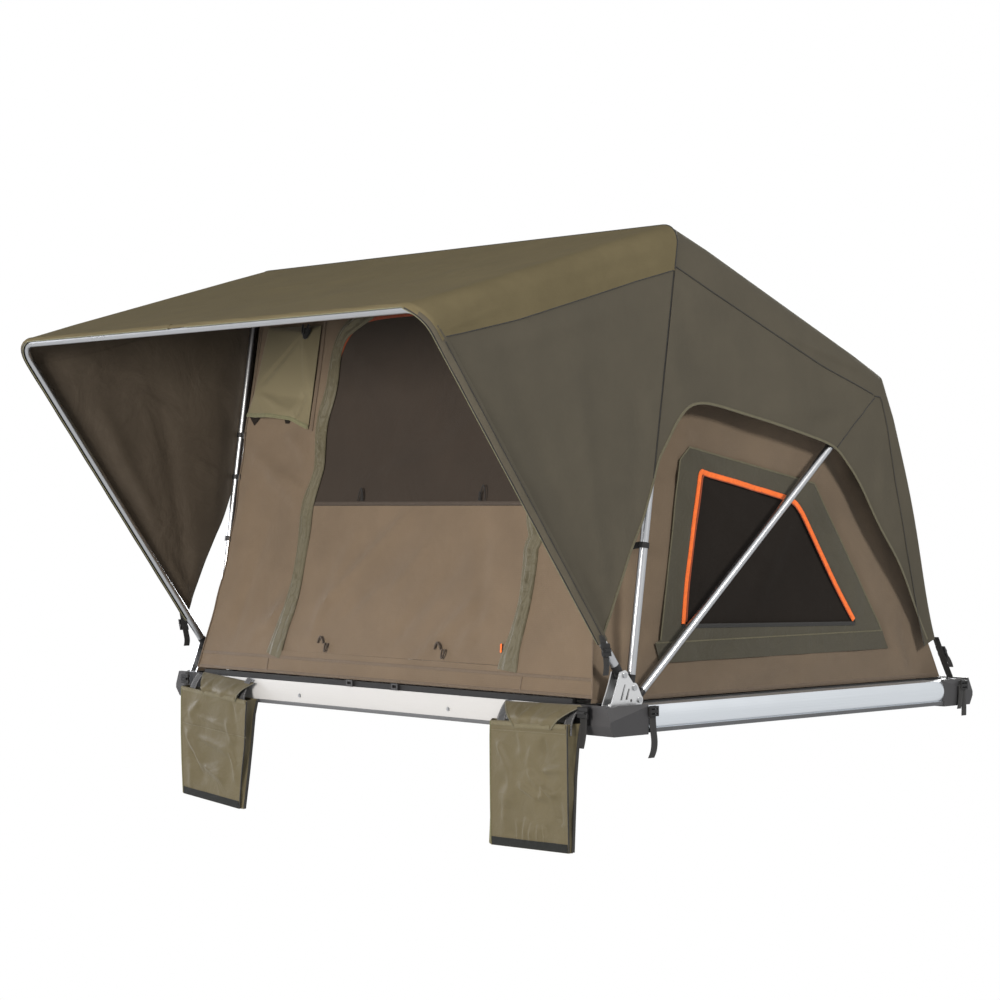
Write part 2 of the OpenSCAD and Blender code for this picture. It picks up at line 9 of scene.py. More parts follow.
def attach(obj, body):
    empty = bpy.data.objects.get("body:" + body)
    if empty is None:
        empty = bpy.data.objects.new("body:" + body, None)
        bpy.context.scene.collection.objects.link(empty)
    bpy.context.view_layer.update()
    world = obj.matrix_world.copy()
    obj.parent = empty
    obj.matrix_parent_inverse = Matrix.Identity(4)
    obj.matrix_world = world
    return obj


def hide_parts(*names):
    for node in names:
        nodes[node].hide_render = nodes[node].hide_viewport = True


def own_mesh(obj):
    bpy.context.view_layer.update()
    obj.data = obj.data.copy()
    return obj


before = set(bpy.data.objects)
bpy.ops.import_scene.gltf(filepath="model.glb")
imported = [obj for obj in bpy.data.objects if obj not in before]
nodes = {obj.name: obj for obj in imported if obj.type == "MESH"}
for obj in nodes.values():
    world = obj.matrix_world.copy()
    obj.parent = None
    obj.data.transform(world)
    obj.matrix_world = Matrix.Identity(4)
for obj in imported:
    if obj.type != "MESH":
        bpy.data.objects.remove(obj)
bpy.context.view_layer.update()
print("frame loaded,", len(nodes), "nodes")

# Camera: level, 46.8 degrees round from the door side
camera = bpy.data.objects.new("camera", bpy.data.cameras.new("camera"))
bpy.context.scene.collection.objects.link(camera)
camera.location = (5.5228, -5.4782, 0.6422)
camera.rotation_euler = Vector((-0.729, 0.6845, 0)).to_track_quat("-Z", "Y").to_euler()
camera.data.sensor_width = 36
camera.data.lens = 86.47
camera.data.shift_y = 0.0075
bpy.context.scene.camera = camera


# Material helpers

def toLinear(hexColour):
    channels = [int(hexColour[i:i + 2], 16) / 255 for i in (1, 3, 5)]
    return [c / 12.92 if c <= 0.04045 else ((c + 0.055) / 1.055) ** 2.4 for c in channels] + [1.0]


def addNode(tree, kind, inputs=None, **settings):
    node = tree.nodes.new(kind)
    for name, value in settings.items():
        setattr(node, name, value)
    for name, value in (inputs or {}).items():
        if isinstance(value, bpy.types.NodeSocket):
            tree.links.new(value, node.inputs[name])
        else:
            node.inputs[name].default_value = value
    return node


def newMaterial(name, **sockets):
    material = bpy.data.materials.new(name)
    material.use_nodes = True
    tree = material.node_tree
    tree.nodes.clear()
    shader = addNode(tree, "ShaderNodeBsdfPrincipled")
    output = addNode(tree, "ShaderNodeOutputMaterial")
    tree.links.new(shader.outputs[0], output.inputs[0])
    for socket, value in sockets.items():
        shader.inputs[socket.replace("_", " ")].default_value = value
    return material, tree, shader


def mixColours(tree, factor, first, second):
    mix = addNode(tree, "ShaderNodeMix", {0: factor}, data_type="RGBA")
    for index, value in ((6, first), (7, second)):
        if isinstance(value, bpy.types.NodeSocket):
            tree.links.new(value, mix.inputs[index])
        else:
            mix.inputs[index].default_value = value
    return mix.outputs[2]


def calculate(tree, operation, *values):
    node = addNode(tree, "ShaderNodeMath", dict(enumerate(values)), operation=operation)
    return node.outputs[0]


def scaled(colour, factor):
    return [c * factor for c in colour[:3]] + [1.0]


# Blender's band texture repeats every pi / 10 / scale
def bands(tree, vector, period, direction):
    return addNode(tree, "ShaderNodeTexWave", {"Vector": vector, "Scale": math.pi / 10 / period},
                   bands_direction=direction).outputs["Fac"]


# Woven cloth. The weave follows the cloth's own coordinates, which are its flat size in metres. Real threads
# are 0.3 mm apart, too fine to show, so they are drawn 0.8 mm apart.
def wovenCloth(name, colour, roughness, sheen, specular, thread=0.0008, weave=0.25, square=0, mottle=0.12,
               crease=0.0, creaseScale=14, lighterPatches=0.0):
    material, tree, shader = newMaterial(name, Sheen_Weight=sheen, Sheen_Roughness=0.45,
                                         Specular_IOR_Level=specular)
    base = toLinear(colour)
    places = addNode(tree, "ShaderNodeTexCoord")
    cloud = addNode(tree, "ShaderNodeTexNoise",
                    {"Vector": places.outputs["Object"], "Scale": 6.0, "Detail": 6.0,
                     "Roughness": 0.62}).outputs["Fac"]
    cloud = addNode(tree, "ShaderNodeMapRange", {"Value": cloud, "From Min": 0.3, "From Max": 0.7}).outputs[0]
    shade = mixColours(tree, cloud, scaled(base, 1 - mottle), scaled(base, 1 + mottle))
    slub = addNode(tree, "ShaderNodeTexNoise",
                   {"Vector": places.outputs["Object"], "Scale": 420.0, "Detail": 2.0})
    shade = mixColours(tree, calculate(tree, "MULTIPLY", slub.outputs["Fac"], 0.35), shade,
                       scaled(base, 0.82))
    across = bands(tree, places.outputs["UV"], thread, "X")
    along = bands(tree, places.outputs["UV"], thread, "Y")
    height = calculate(tree, "MULTIPLY", calculate(tree, "MULTIPLY", across, along), 0.5)
    if square:
        lines = calculate(tree, "MAXIMUM", bands(tree, places.outputs["UV"], square, "X"),
                          bands(tree, places.outputs["UV"], square, "Y"))
        lines = calculate(tree, "POWER", lines, 14.0)
        height = calculate(tree, "ADD", height, lines)
        shade = mixColours(tree, calculate(tree, "MULTIPLY", lines, 0.16), shade, scaled(base, 0.72))
    bump = addNode(tree, "ShaderNodeBump", {"Height": height, "Strength": weave, "Distance": 0.0004})
    if crease:
        fold = addNode(tree, "ShaderNodeTexNoise",
                       {"Vector": places.outputs["Object"], "Scale": float(creaseScale),
                        "Detail": 4.0, "Roughness": 0.5, "Distortion": 0.8})
        bump = addNode(tree, "ShaderNodeBump",
                       {"Height": fold.outputs["Fac"], "Strength": crease, "Distance": 0.02,
                        "Normal": bump.outputs[0]})
    # Lighter patches at random, up to half as bright again
    if lighterPatches:
        randomPatches = addNode(tree, "ShaderNodeTexNoise",
                       {"Vector": places.outputs["Object"], "Scale": 60.0, "Detail": 8.0,
                        "Roughness": 0.75}).outputs["Fac"]
        randomPatches = addNode(tree, "ShaderNodeMapRange",
                       {"Value": randomPatches, "From Min": 0.55, "From Max": 0.75}).outputs[0]
        shade = mixColours(tree, calculate(tree, "MULTIPLY", randomPatches, lighterPatches), shade, scaled(base, 1.5))
    tree.links.new(shade, shader.inputs["Base Color"])
    tree.links.new(bump.outputs[0], shader.inputs["Normal"])
    rough = addNode(tree, "ShaderNodeMapRange",
                    {"Value": cloud, "To Min": roughness - 0.06, "To Max": roughness + 0.06})
    tree.links.new(rough.outputs[0], shader.inputs["Roughness"])
    return material


# Webbing and tapes: ribs across the length, with a stitched line near each edge
def wovenTape(name, colour, rib, width, stitch, strength=0.6):
    material, tree, shader = newMaterial(name, Roughness=0.75, Sheen_Weight=0.2, Specular_IOR_Level=0.35)
    base = toLinear(colour)
    places = addNode(tree, "ShaderNodeTexCoord")
    ribs = bands(tree, places.outputs["UV"], rib, "X")
    slant = bands(tree, places.outputs["UV"], rib * 1.7, "DIAGONAL")
    height = calculate(tree, "ADD", ribs, calculate(tree, "MULTIPLY", slant, 0.6))
    randomPatches = addNode(tree, "ShaderNodeTexNoise",
                   {"Vector": places.outputs["Object"], "Scale": 90.0, "Detail": 4.0})
    shade = mixColours(tree, randomPatches.outputs["Fac"], scaled(base, 0.75), scaled(base, 1.3))
    split = addNode(tree, "ShaderNodeSeparateXYZ", {0: places.outputs["UV"]})
    off = calculate(tree, "ABSOLUTE", split.outputs[1])
    edge = calculate(tree, "ABSOLUTE", calculate(tree, "SUBTRACT", off, width * 0.38))
    seam = calculate(tree, "MULTIPLY", calculate(tree, "LESS_THAN", edge, 0.0007),
                     calculate(tree, "GREATER_THAN", bands(tree, places.outputs["UV"], 0.004, "X"), 0.35))
    shade = mixColours(tree, calculate(tree, "MULTIPLY", seam, 0.7), shade, toLinear(stitch))
    bump = addNode(tree, "ShaderNodeBump", {"Height": height, "Strength": strength, "Distance": 0.0005})
    tree.links.new(shade, shader.inputs["Base Color"])
    tree.links.new(bump.outputs[0], shader.inputs["Normal"])
    return material


# Drawn or extruded metal, with die lines along one axis
def drawnMetal(name, colour, roughness, lines, metallic=1.0, strength=0.12, fleck=0.08):
    material, tree, shader = newMaterial(name, Metallic=metallic)
    places = addNode(tree, "ShaderNodeTexCoord")
    stretch = addNode(tree, "ShaderNodeMapping", {0: places.outputs["Object"], "Scale": lines})
    grain = addNode(tree, "ShaderNodeTexNoise",
                    {"Vector": stretch.outputs[0], "Scale": 1.0, "Detail": 3.0}).outputs["Fac"]
    cloud = addNode(tree, "ShaderNodeTexNoise",
                    {"Vector": places.outputs["Object"], "Scale": 5.0, "Detail": 5.0})
    base = toLinear(colour)
    shade = mixColours(tree, grain, scaled(base, 1 - fleck), scaled(base, 1 + fleck * 0.5))
    wear = addNode(tree, "ShaderNodeMapRange", {"Value": cloud.outputs["Fac"], "To Min": roughness - 0.07,
                                                "To Max": roughness + 0.07})
    bump = addNode(tree, "ShaderNodeBump", {"Height": grain, "Strength": strength, "Distance": 0.0003})
    tree.links.new(shade, shader.inputs["Base Color"])
    tree.links.new(wear.outputs[0], shader.inputs["Roughness"])
    tree.links.new(bump.outputs[0], shader.inputs["Normal"])
    return material


# Moulded plastic with a fine spark-eroded grain
def mouldedPlastic(name, colour, roughness, grain=900.0, strength=0.25):
    material, tree, shader = newMaterial(name, Specular_IOR_Level=0.3)
    places = addNode(tree, "ShaderNodeTexCoord")
    fine = addNode(tree, "ShaderNodeTexNoise",
                   {"Vector": places.outputs["Object"], "Scale": grain, "Detail": 3.0})
    cloud = addNode(tree, "ShaderNodeTexNoise",
                    {"Vector": places.outputs["Object"], "Scale": 16.0, "Detail": 6.0,
                     "Roughness": 0.65})
    base = toLinear(colour)
    shade = mixColours(tree, cloud.outputs["Fac"], scaled(base, 0.8), scaled(base, 1.25))
    wear = addNode(tree, "ShaderNodeMapRange",
                   {"Value": cloud.outputs["Fac"], "From Min": 0.3, "From Max": 0.7,
                    "To Min": roughness - 0.08, "To Max": roughness + 0.1})
    bump = addNode(tree, "ShaderNodeBump", {"Height": fine.outputs["Fac"], "Strength": strength,
                                            "Distance": 0.0003})
    tree.links.new(shade, shader.inputs["Base Color"])
    tree.links.new(wear.outputs[0], shader.inputs["Roughness"])
    tree.links.new(bump.outputs[0], shader.inputs["Normal"])
    return material


# Awning panel: coated polyester Oxford cloth, matt, in olive, the lightest of the fly's cloths
oxfordOlive = wovenCloth("oxfordPolyesterOlive", "#665e48", roughness=0.85, sheen=0.0, specular=0.03,
                         weave=0.3, crease=0.25, creaseScale=5)
# Sides, roof and rear of the fly: the same cloth in dark olive grey, with a slight shine
oxfordDark = wovenCloth("oxfordPolyesterDark", "#504c42", roughness=0.8, sheen=0.0, specular=0.15, weave=0.3,
                        crease=0.25, creaseScale=4)
# Inside of the fly: its polyurethane coat, smoother and darker than the cloth
coatedInside = wovenCloth("polyurethaneCoatDark", "#564e44", roughness=0.5, sheen=0.0, specular=0.35,
                          weave=0.15, crease=0.35, creaseScale=6)
# Inner tent: ripstop polycotton canvas, matt and soft, with 6 mm squares
canvasBrown = wovenCloth("polycottonCanvasBrown", "#6b5d4d", roughness=0.9, sheen=0.3, specular=0.2,
                         square=0.006, weave=0.35, crease=0.2, creaseScale=6)
# Patch round the windows: canvas in olive grey
canvasOlive = wovenCloth("polycottonCanvasOlive", "#48453a", roughness=0.88, sheen=0.3, specular=0.2,
                         square=0.006, crease=0.35, creaseScale=11)
# Gathered strips beside the door: light polyester taffeta, whose creases catch the light
lightOlive = wovenCloth("taffetaPolyesterOlive", "#524d3a", roughness=0.62, sheen=0.3, specular=0.4,
                        weave=0.15, crease=0.3, creaseScale=30)
# The vent's hood: the same taffeta, smoother and without the gathers' creases
hoodOlive = wovenCloth("taffetaPolyesterHood", "#6e6750", roughness=0.7, sheen=0.2, specular=0.3, weave=0.15,
                       mottle=0.06)
# Insect netting of the door and the windows: opaque sheets whose open weave with 1.2 mm holes is only in the
# bumps.
# Their dark colour is partly the netting's own and partly painted shade of the tent's inside seen through the
# holes
nettingOverShadeBrown = wovenCloth("insectNettingOverShadeBrown", "#352e28", roughness=0.9, sheen=0.2, specular=0.15,
                          thread=0.0012, weave=0.8, crease=0.25, creaseScale=4)
nettingOverShadeDark = wovenCloth("insectNettingOverShadeDark", "#221e1b", roughness=0.9, sheen=0.1, specular=0.05,
                         thread=0.0012, weave=0.8, crease=0.25, creaseScale=5)
# Shoe bags: thin coated nylon with a shine
nylonOlive = wovenCloth("coatedNylonOlive", "#5a533e", roughness=0.54, sheen=0.1, specular=0.22, weave=0.2,
                        mottle=0.08, crease=0.25, creaseScale=16, lighterPatches=0.15)
# Binding of the bags' mouths and flaps, and the open mesh at their feet
bagBinding = wovenTape("nylonBindingOlive", "#5c5640", rib=0.0012, width=0.012, stitch="#48442f",
                       strength=0.25)
bottomNetting = wovenCloth("openNettingBlack", "#181a19", roughness=0.8, sheen=0.1, specular=0.2,
                           thread=0.0016, weave=0.8)
# Mattress cover: knitted polyester
knitGrey = wovenCloth("knittedPolyesterGrey", "#85827c", roughness=0.92, sheen=0.4, specular=0.2,
                      thread=0.0024, weave=0.5, crease=0.2, creaseScale=10)
# Polyester tapes and webbing
webbingBlack = wovenTape("polyesterWebbingBlack", "#121212", rib=0.0025, width=0.025, stitch="#2c2c2c")
# Webbing of the bags' loops: black webbing drawn dark grey, the grey being painted sheen
webbingSheenGrey = wovenTape("polyesterWebbingPaintedSheen", "#3c3d3f", rib=0.007, width=0.032, stitch="#a5a6a8",
                          strength=1.0)
bindingOlive = wovenTape("polyesterBindingOlive", "#67664c", rib=0.0012, width=0.010, stitch="#4a4937",
                         strength=0.3)
bindingDark = wovenTape("polyesterBindingDark", "#57533f", rib=0.0012, width=0.008, stitch="#3c3a2e",
                        strength=0.3)
bindingBrown = wovenTape("polyesterBindingBrown", "#3d342c", rib=0.0012, width=0.010, stitch="#2a241e",
                         strength=0.3)
bindingBlack = wovenTape("polyesterBindingBlack", "#141413", rib=0.0012, width=0.010, stitch="#262624",
                         strength=0.3)
hemBrown = wovenTape("canvasHemBrown", "#5b4e40", rib=0.0014, width=0.012, stitch="#57493a", strength=0.3)
# Zip of the windows: orange polyester tape with a black coil, and the door's in a darker orange
zipOrange = wovenTape("zipTapeOrange", "#f0702a", rib=0.0016, width=0.016, stitch="#c2521a", strength=0.2)
zipRust = wovenTape("zipTapeRust", "#8d3d1d", rib=0.0016, width=0.014, stitch="#5f2812", strength=0.5)
# Tubes: drawn aluminium, clear anodised, with a long bright highlight
anodisedTube = drawnMetal("anodisedAluminiumTube", "#a9abae", 0.3, (260.0, 260.0, 260.0), strength=0.05)
# Side rails: satin anodised extrusion, die lines along Y, and the rear rail's along X
anodisedRail = drawnMetal("anodisedAluminiumRail", "#ccd1d6", 0.36, (420.0, 1.5, 420.0))
anodisedEnd = drawnMetal("anodisedAluminiumEnd", "#ccd1d6", 0.36, (1.5, 420.0, 420.0))
# Front rail: aluminium with a pale powder coat
powderWhite = drawnMetal("powderCoatedAluminium", "#b4b5b6", 0.42, (700.0, 700.0, 700.0), metallic=0.0,
                         strength=0.1, fleck=0.03)
# Hinge brackets: stamped steel, zinc plated
zincSteel = drawnMetal("zincPlatedSteel", "#c9cacb", 0.34, (90.0, 90.0, 600.0), strength=0.2)
# Screws and bolts: steel, zinc plated
boltSteel = drawnMetal("zincPlatedBolt", "#a9abad", 0.3, (300.0, 300.0, 300.0))
# Caps, knuckles, clips and buckles: glass-filled nylon
nylonBlack = mouldedPlastic("glassFilledNylonBlack", "#141415", roughness=0.5)
nylonGrey = mouldedPlastic("glassFilledNylonGrey", "#373739", roughness=0.46)
# Grey of the strips along the rails' lower edges: painted shade of the profile's underside
railShadeGrey = mouldedPlastic("railUndersideShadeGrey", "#55575a", roughness=0.5, strength=0.1)
# Floor: laminate over a composite core
laminateGrey = mouldedPlastic("compositeLaminateGrey", "#6d6e70", roughness=0.6, grain=300.0)
print("materials made")


# Mesh helpers

def addPiece(name, points, faces, materials, slots=None, cloth=None, sharp=40):
    mesh = bpy.data.meshes.new(name)
    mesh.from_pydata(np.asarray(points, float).tolist(), [], [tuple(f) for f in faces])
    for material in materials:
        mesh.materials.append(material)
    if slots is not None:
        mesh.polygons.foreach_set("material_index", slots)
    mesh.polygons.foreach_set("use_smooth", [True] * len(mesh.polygons))
    mesh.set_sharp_from_angle(angle=math.radians(sharp))
    if cloth is not None:
        layer = mesh.uv_layers.new(name="cloth")
        loops = np.zeros(len(mesh.loops), int)
        mesh.loops.foreach_get("vertex_index", loops)
        layer.data.foreach_set("uv", np.asarray(cloth, float)[loops].ravel())
    mesh.update()
    piece = bpy.data.objects.new(name, mesh)
    bpy.context.scene.collection.objects.link(piece)
    return piece


def unit(v):
    return v / np.maximum(np.linalg.norm(v, axis=-1, keepdims=True), 1e-12)


# Points along a line or loop, no further apart than the step, with its corners kept
def spaced(line, step, closed=False):
    line = np.asarray(line, float)
    ends = np.roll(line, -1, axis=0) if closed else line[1:]
    made = []
    for a, b in zip(line, ends):
        count = max(1, int(math.ceil(np.linalg.norm(b - a) / step)))
        made += [a + (b - a) * i / count for i in range(count)]
    if not closed:
        made.append(line[-1])
    return np.array(made)


# A smooth line through its points
def curved(line, step, closed=False):
    line = np.asarray(line, float)
    count = len(line)
    made = []
    for i in range(count if closed else count - 1):
        p = [line[(i + k) % count] if closed else line[min(max(i + k, 0), count - 1)] for k in (-1, 0, 1, 2)]
        parts = max(2, int(math.ceil(np.linalg.norm(p[2] - p[1]) / step)))
        for t in np.arange(parts) / parts:
            made.append(0.5 * ((2 * p[1]) + (p[2] - p[0]) * t
                               + (2 * p[0] - 5 * p[1] + 4 * p[2] - p[3]) * t ** 2
                               + (3 * p[1] - p[0] - 3 * p[2] + p[3]) * t ** 3))
    if not closed:
        made.append(line[-1])
    return np.array(made)


def insideLoop(points, loop):
    x, y = points[:, 0], points[:, 1]
    odd = np.zeros(len(points), bool)
    for (ax, ay), (bx, by) in zip(np.roll(loop, 1, axis=0), loop):
        span = by - ay if abs(by - ay) > 1e-12 else 1e-12
        odd ^= ((ay > y) != (by > y)) & (x < (bx - ax) * (y - ay) / span + ax)
    return odd


# Triangles that fill an outline with holes, evenly spaced
def filled(outline, holes, step):
    loops = [spaced(outline, step, True)] + [spaced(h, step, True) for h in holes]
    edges, start = [], 0
    for loop in loops:
        edges += [(start + i, start + (i + 1) % len(loop)) for i in range(len(loop))]
        start += len(loop)
    border = np.concatenate(loops)
    low, high = loops[0].min(0), loops[0].max(0)
    rows = np.arange(low[1] + step / 2, high[1], step * 0.87)
    across = [np.arange(low[0] + (i % 2) * step / 2, high[0], step) for i in range(len(rows))]
    cloud = np.concatenate([np.stack([u, np.full(len(u), row)], 1) for u, row in zip(across, rows)])
    keep = insideLoop(cloud, loops[0])
    for hole in loops[1:]:
        keep &= ~insideLoop(cloud, hole)
    cloud = cloud[keep]
    near = np.min([np.linalg.norm(cloud - b, axis=1) for b in border], axis=0)
    points = np.concatenate([border, cloud[near > step * 0.45]])
    made = delaunay_2d_cdt([Vector(p) for p in points], edges, [], 0, 1e-7)
    spots = np.array([tuple(p) for p in made[0]])
    faces = np.array([f for f in made[2] if len(f) == 3])
    middle = spots[faces].mean(1)
    keep = insideLoop(middle, loops[0])
    for hole in loops[1:]:
        keep &= ~insideLoop(middle, hole)
    return spots, faces[keep]


def borderEdges(faces):
    count = {}
    for f in faces:
        for a, b in ((f[0], f[1]), (f[1], f[2]), (f[2], f[0])):
            count[(a, b)] = count.get((a, b), 0) + 1
    return [(a, b) for a, b in count if (b, a) not in count]


# A cut piece of cloth on a surface: place takes cloth coordinates and the height above the surface
def clothPanel(name, outline, place, materials, holes=(), step=0.02, thickness=0.0012, base=0.0, relief=None):
    spots, faces = filled(outline, holes, step)
    u, v = spots.T
    height = base + (relief(u, v) if relief else np.zeros(len(u)))
    outer, inner = place(u, v, height), place(u, v, height - thickness)
    count = len(spots)
    normal = np.cross(outer[faces[:, 1]] - outer[faces[:, 0]], outer[faces[:, 2]] - outer[faces[:, 0]]).sum(0)
    if normal @ (outer - inner).sum(0) < 0:
        faces = faces[:, ::-1]
    rims = [(a, a + count, b + count, b) for a, b in borderEdges(faces.tolist())]
    every = faces.tolist() + (faces[:, ::-1] + count).tolist() + rims
    slots = [0] * len(faces) + [len(materials) - 1] * len(faces) + [0] * len(rims)
    return addPiece(name, np.concatenate([outer, inner]), every, materials, slots,
                    np.concatenate([spots, spots]))


# A sheet given as a grid of points. Its back lies on the side of the point called within.
def clothGrid(name, points, materials, within, thickness=0.0012, wrap=False):
    rows, columns = points.shape[:2]
    down = np.gradient(points, axis=0)
    right = np.gradient(points, axis=1)
    if wrap:
        right = (np.roll(points, -1, axis=1) - np.roll(points, 1, axis=1)) / 2
    normal = unit(np.cross(down, right))
    turned = (normal * (points - np.asarray(within))).sum() < 0
    if turned:
        normal = -normal
    inner = points - normal * thickness
    stepU = np.linalg.norm(np.diff(points, axis=1, append=points[:, :1] if wrap else points[:, -1:]), axis=2)
    stepV = np.linalg.norm(np.diff(points, axis=0, append=points[-1:]), axis=2)
    u = np.cumsum(stepU, axis=1) - stepU
    v = np.cumsum(stepV, axis=0) - stepV
    count = rows * columns
    outerFaces, innerFaces = [], []
    for i in range(rows - 1):
        for j in range(columns if wrap else columns - 1):
            k = (j + 1) % columns
            face = (i * columns + j, (i + 1) * columns + j, (i + 1) * columns + k, i * columns + k)
            outerFaces.append(face[::-1] if turned else face)
            innerFaces.append(tuple(count + p for p in (face if turned else face[::-1])))
    edges = dict.fromkeys((a, b) for face in outerFaces for a, b in zip(face, face[1:] + face[:1]))
    rims = [(b, a, a + count, b + count) for a, b in edges if (b, a) not in edges]
    slots = [0] * len(outerFaces) + [len(materials) - 1] * len(innerFaces) + [0] * len(rims)
    cloth = np.stack([u.ravel(), v.ravel()], 1)
    return addPiece(name, np.concatenate([points.reshape(-1, 3), inner.reshape(-1, 3)]),
                    outerFaces + innerFaces + rims, materials, slots, np.concatenate([cloth, cloth]))


cordSides = 10


# A section carried along a line. The section's points are (across, up) pairs, anticlockwise.
def carried(name, line, across, up, section, material, closed=False, sharp=40):
    line, across, up = (np.asarray(x, float) for x in (line, across, up))
    section = np.asarray(section, float)
    if section.ndim == 2:
        section = np.repeat(section[None], len(line), axis=0)
    rings, ring = len(line), section.shape[1]
    points = line[:, None] + across[:, None] * section[..., :1] + up[:, None] * section[..., 1:]
    steps = np.linalg.norm(np.diff(line, axis=0, prepend=line[:1]), axis=1).cumsum()
    cloth = np.stack([np.repeat(steps, ring), section[..., 0].ravel()], 1)
    faces = []
    for i in range(rings if closed else rings - 1):
        k = (i + 1) % rings
        faces += [(i * ring + j, i * ring + (j + 1) % ring, k * ring + (j + 1) % ring, k * ring + j)
                  for j in range(ring)]
    if not closed:
        faces += [tuple(range(ring))[::-1], tuple((rings - 1) * ring + j for j in range(ring))]
    along = line[1] - line[0]
    if np.dot(np.cross(across[0], up[0]), along) > 0:
        faces = [f[::-1] for f in faces]
    return addPiece(name, points.reshape(-1, 3), faces, [material], cloth=cloth, sharp=sharp)


def tapeSection(width, thickness):
    half = width / 2
    return [(half, 0), (half, thickness * 0.6), (half * 0.86, thickness), (-half * 0.86, thickness),
            (-half, thickness * 0.6), (-half, 0)]


def roundSection(radius):
    turn = np.linspace(0, 2 * math.pi, cordSides, endpoint=False)
    return np.stack([radius * np.cos(turn), radius * np.sin(turn)], 1)


# A tape or hem that lies on a panel, following a line in cloth coordinates
def tapeOn(name, line, place, width, material, lift=0.0006, thickness=0.0009, relief=None, step=0.02):
    line = spaced(line, step)
    way = unit(np.gradient(line, axis=0))
    side = np.stack([way[:, 1], -way[:, 0]], 1)
    height = lift + (relief(*line.T) if relief else np.zeros(len(line)))
    middle = place(*line.T, height)
    across = unit(place(*(line + side * 0.001).T, height) - middle)
    up = unit(place(*line.T, height + 0.001) - middle)
    return carried(name, middle, across, up, tapeSection(width, thickness), material)


# A round cord through points, its section kept upright by carrying it from ring to ring
def cordThrough(name, line, radius, material, closed=False):
    line = np.asarray(line, float)
    around = np.roll(line, -1, axis=0) - np.roll(line, 1, axis=0)
    way = unit(around if closed else np.gradient(line, axis=0))
    side = np.zeros_like(line)
    start = np.cross(way[0], (0.3, 0.2, 0.93))
    side[0] = unit(start if np.linalg.norm(start) > 0.1 else np.cross(way[0], (1, 0, 0)))
    for i in range(1, len(line)):
        side[i] = unit(side[i - 1] - way[i] * (side[i - 1] @ way[i]))
    return carried(name, line, side, np.cross(way, side), roundSection(radius), material, closed)


# Long soft folds: each runs from (u0, v0) to (u1, v1) with a height and a half width, which grows along it.
# A low crest is a sharp one.
def folds(u, v, made, crest=2.0):
    total = np.zeros(np.shape(u))
    for u0, v0, u1, v1, height, width in made:
        du, dv = u1 - u0, v1 - v0
        length = math.hypot(du, dv)
        t = ((u - u0) * du + (v - v0) * dv) / length ** 2
        off = ((u - u0) * dv - (v - v0) * du) / length
        fade = np.clip(np.minimum(t, 1 - t) * 3 + 0.35, 0, 1)
        fade = fade * fade * (3 - 2 * fade) * ((t > -0.117) & (t < 1.117))
        spread = width * (0.6 + 0.8 * np.clip(t, 0, 1))
        total = total + height * fade * np.exp(-np.abs(off / spread) ** crest)
    return total


waves = 7


# Slight unevenness: waves of random direction and phase
def uneven(u, v, seed, length, height):
    pick = np.random.default_rng(seed)
    total = np.zeros(np.shape(u))
    for _ in range(waves):
        turn = pick.uniform(0, math.pi)
        size = length * pick.uniform(0.6, 1.7)
        along = u * math.cos(turn) + v * math.sin(turn)
        total = total + np.sin(along * 2 * math.pi / size + pick.uniform(0, 6.3))
    return total * height / math.sqrt(waves)


def polar(radius, degrees):
    turn = math.radians(degrees)
    return np.array([radius * math.cos(turn), radius * math.sin(turn)])


# The three hoops in side view, (y, z), as the CAD has them
hoops = {
    "awning": {"pivot": np.array([-0.735, 0.183]), "length": 1.203, "angle": 126.45},
    "ridge": {"pivot": np.array([-0.696, 0.147]), "length": 1.288, "angle": 81.86},
    "rear": {"pivot": np.array([-0.676, 0.113]), "length": 1.435, "angle": 40.08},
}
for hoop in hoops.values():
    hoop["bar"] = hoop["pivot"] + polar(hoop["length"], hoop["angle"])
legX = 0.951  # middle of the hoops' legs
flyX = 0.9675  # outside of the fly's sides
wallX = 0.909  # outside of the inner tent's sides
awningBar, ridgeBar, rearBar = (hoops[k]["bar"] for k in ("awning", "ridge", "rear"))
roofOut = 90 + math.degrees(math.atan2(*(rearBar - ridgeBar)[::-1]))
canopyOut = 90 + math.degrees(math.atan2(*(ridgeBar - awningBar)[::-1]))
rearHem = np.array([0.712, 0.228])
rearOut = 90 + math.degrees(math.atan2(*(rearHem - rearBar)[::-1]))


# The ridge hoop's leg at a height, in side view
def onRidgeLeg(z, shift=0.0):
    pivot, slope = hoops["ridge"]["pivot"], math.tan(math.radians(hoops["ridge"]["angle"]))
    return (pivot[0] + (z - pivot[1]) / slope + shift, z)


def replacing(piece, body, slot, *cadNodes):
    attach(piece, body)
    if cadNodes:
        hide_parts(*cadNodes)
    return piece


# Where the cloth would lie flat as the hoops fold: the fly on the folded hoops, which lie 1.2 degrees up, the
# inner tent on the mattress, and the awning in the plane of its own hoop, square to the way out. Nothing here
# reads this table
flatten = {
    "fly": {"joint": "ridge_fold", "axis": (0, *polar(1, 91.2)), "anchor": (0, -0.516, 0.1635), "keep": 0.01},
    "inner": {"joint": "ridge_fold", "axis": (0, 0, 1), "anchor": (0, 0, 0.104), "keep": 0.01},
    "awning": {"joint": "awning_fold", "axis": (0, *polar(1, 36.45)),
               "anchor": (0, *hoops["awning"]["pivot"]), "keep": 0.008},
}
for way, lift in (("panel", 0.0005), ("trim", 0.0010)):  # folded, a panel lies on its wall and trim on both
    flatten[way] = dict(flatten["inner"], anchor=(0, 0, flatten["inner"]["anchor"][2] + lift))


def flattening(piece):
    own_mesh(piece)
    return piece


def sidePlace(side, x):
    return lambda u, v, w: np.stack([side * (x + w), u, v], -1)


# The front wall leans back from its foot, (y, z)
wallLean = math.radians(12.02)
wallFoot = (-0.803, 0.105)


def frontPlace(u, v, w):
    return np.stack([u + 0 * w, wallFoot[0] + v * math.sin(wallLean) - w * math.cos(wallLean),
                     wallFoot[1] + v * math.cos(wallLean) + w * math.sin(wallLean)], -1)


def ease(x):
    x = np.clip(x, 0, 1)
    return x * x * (3 - 2 * x)


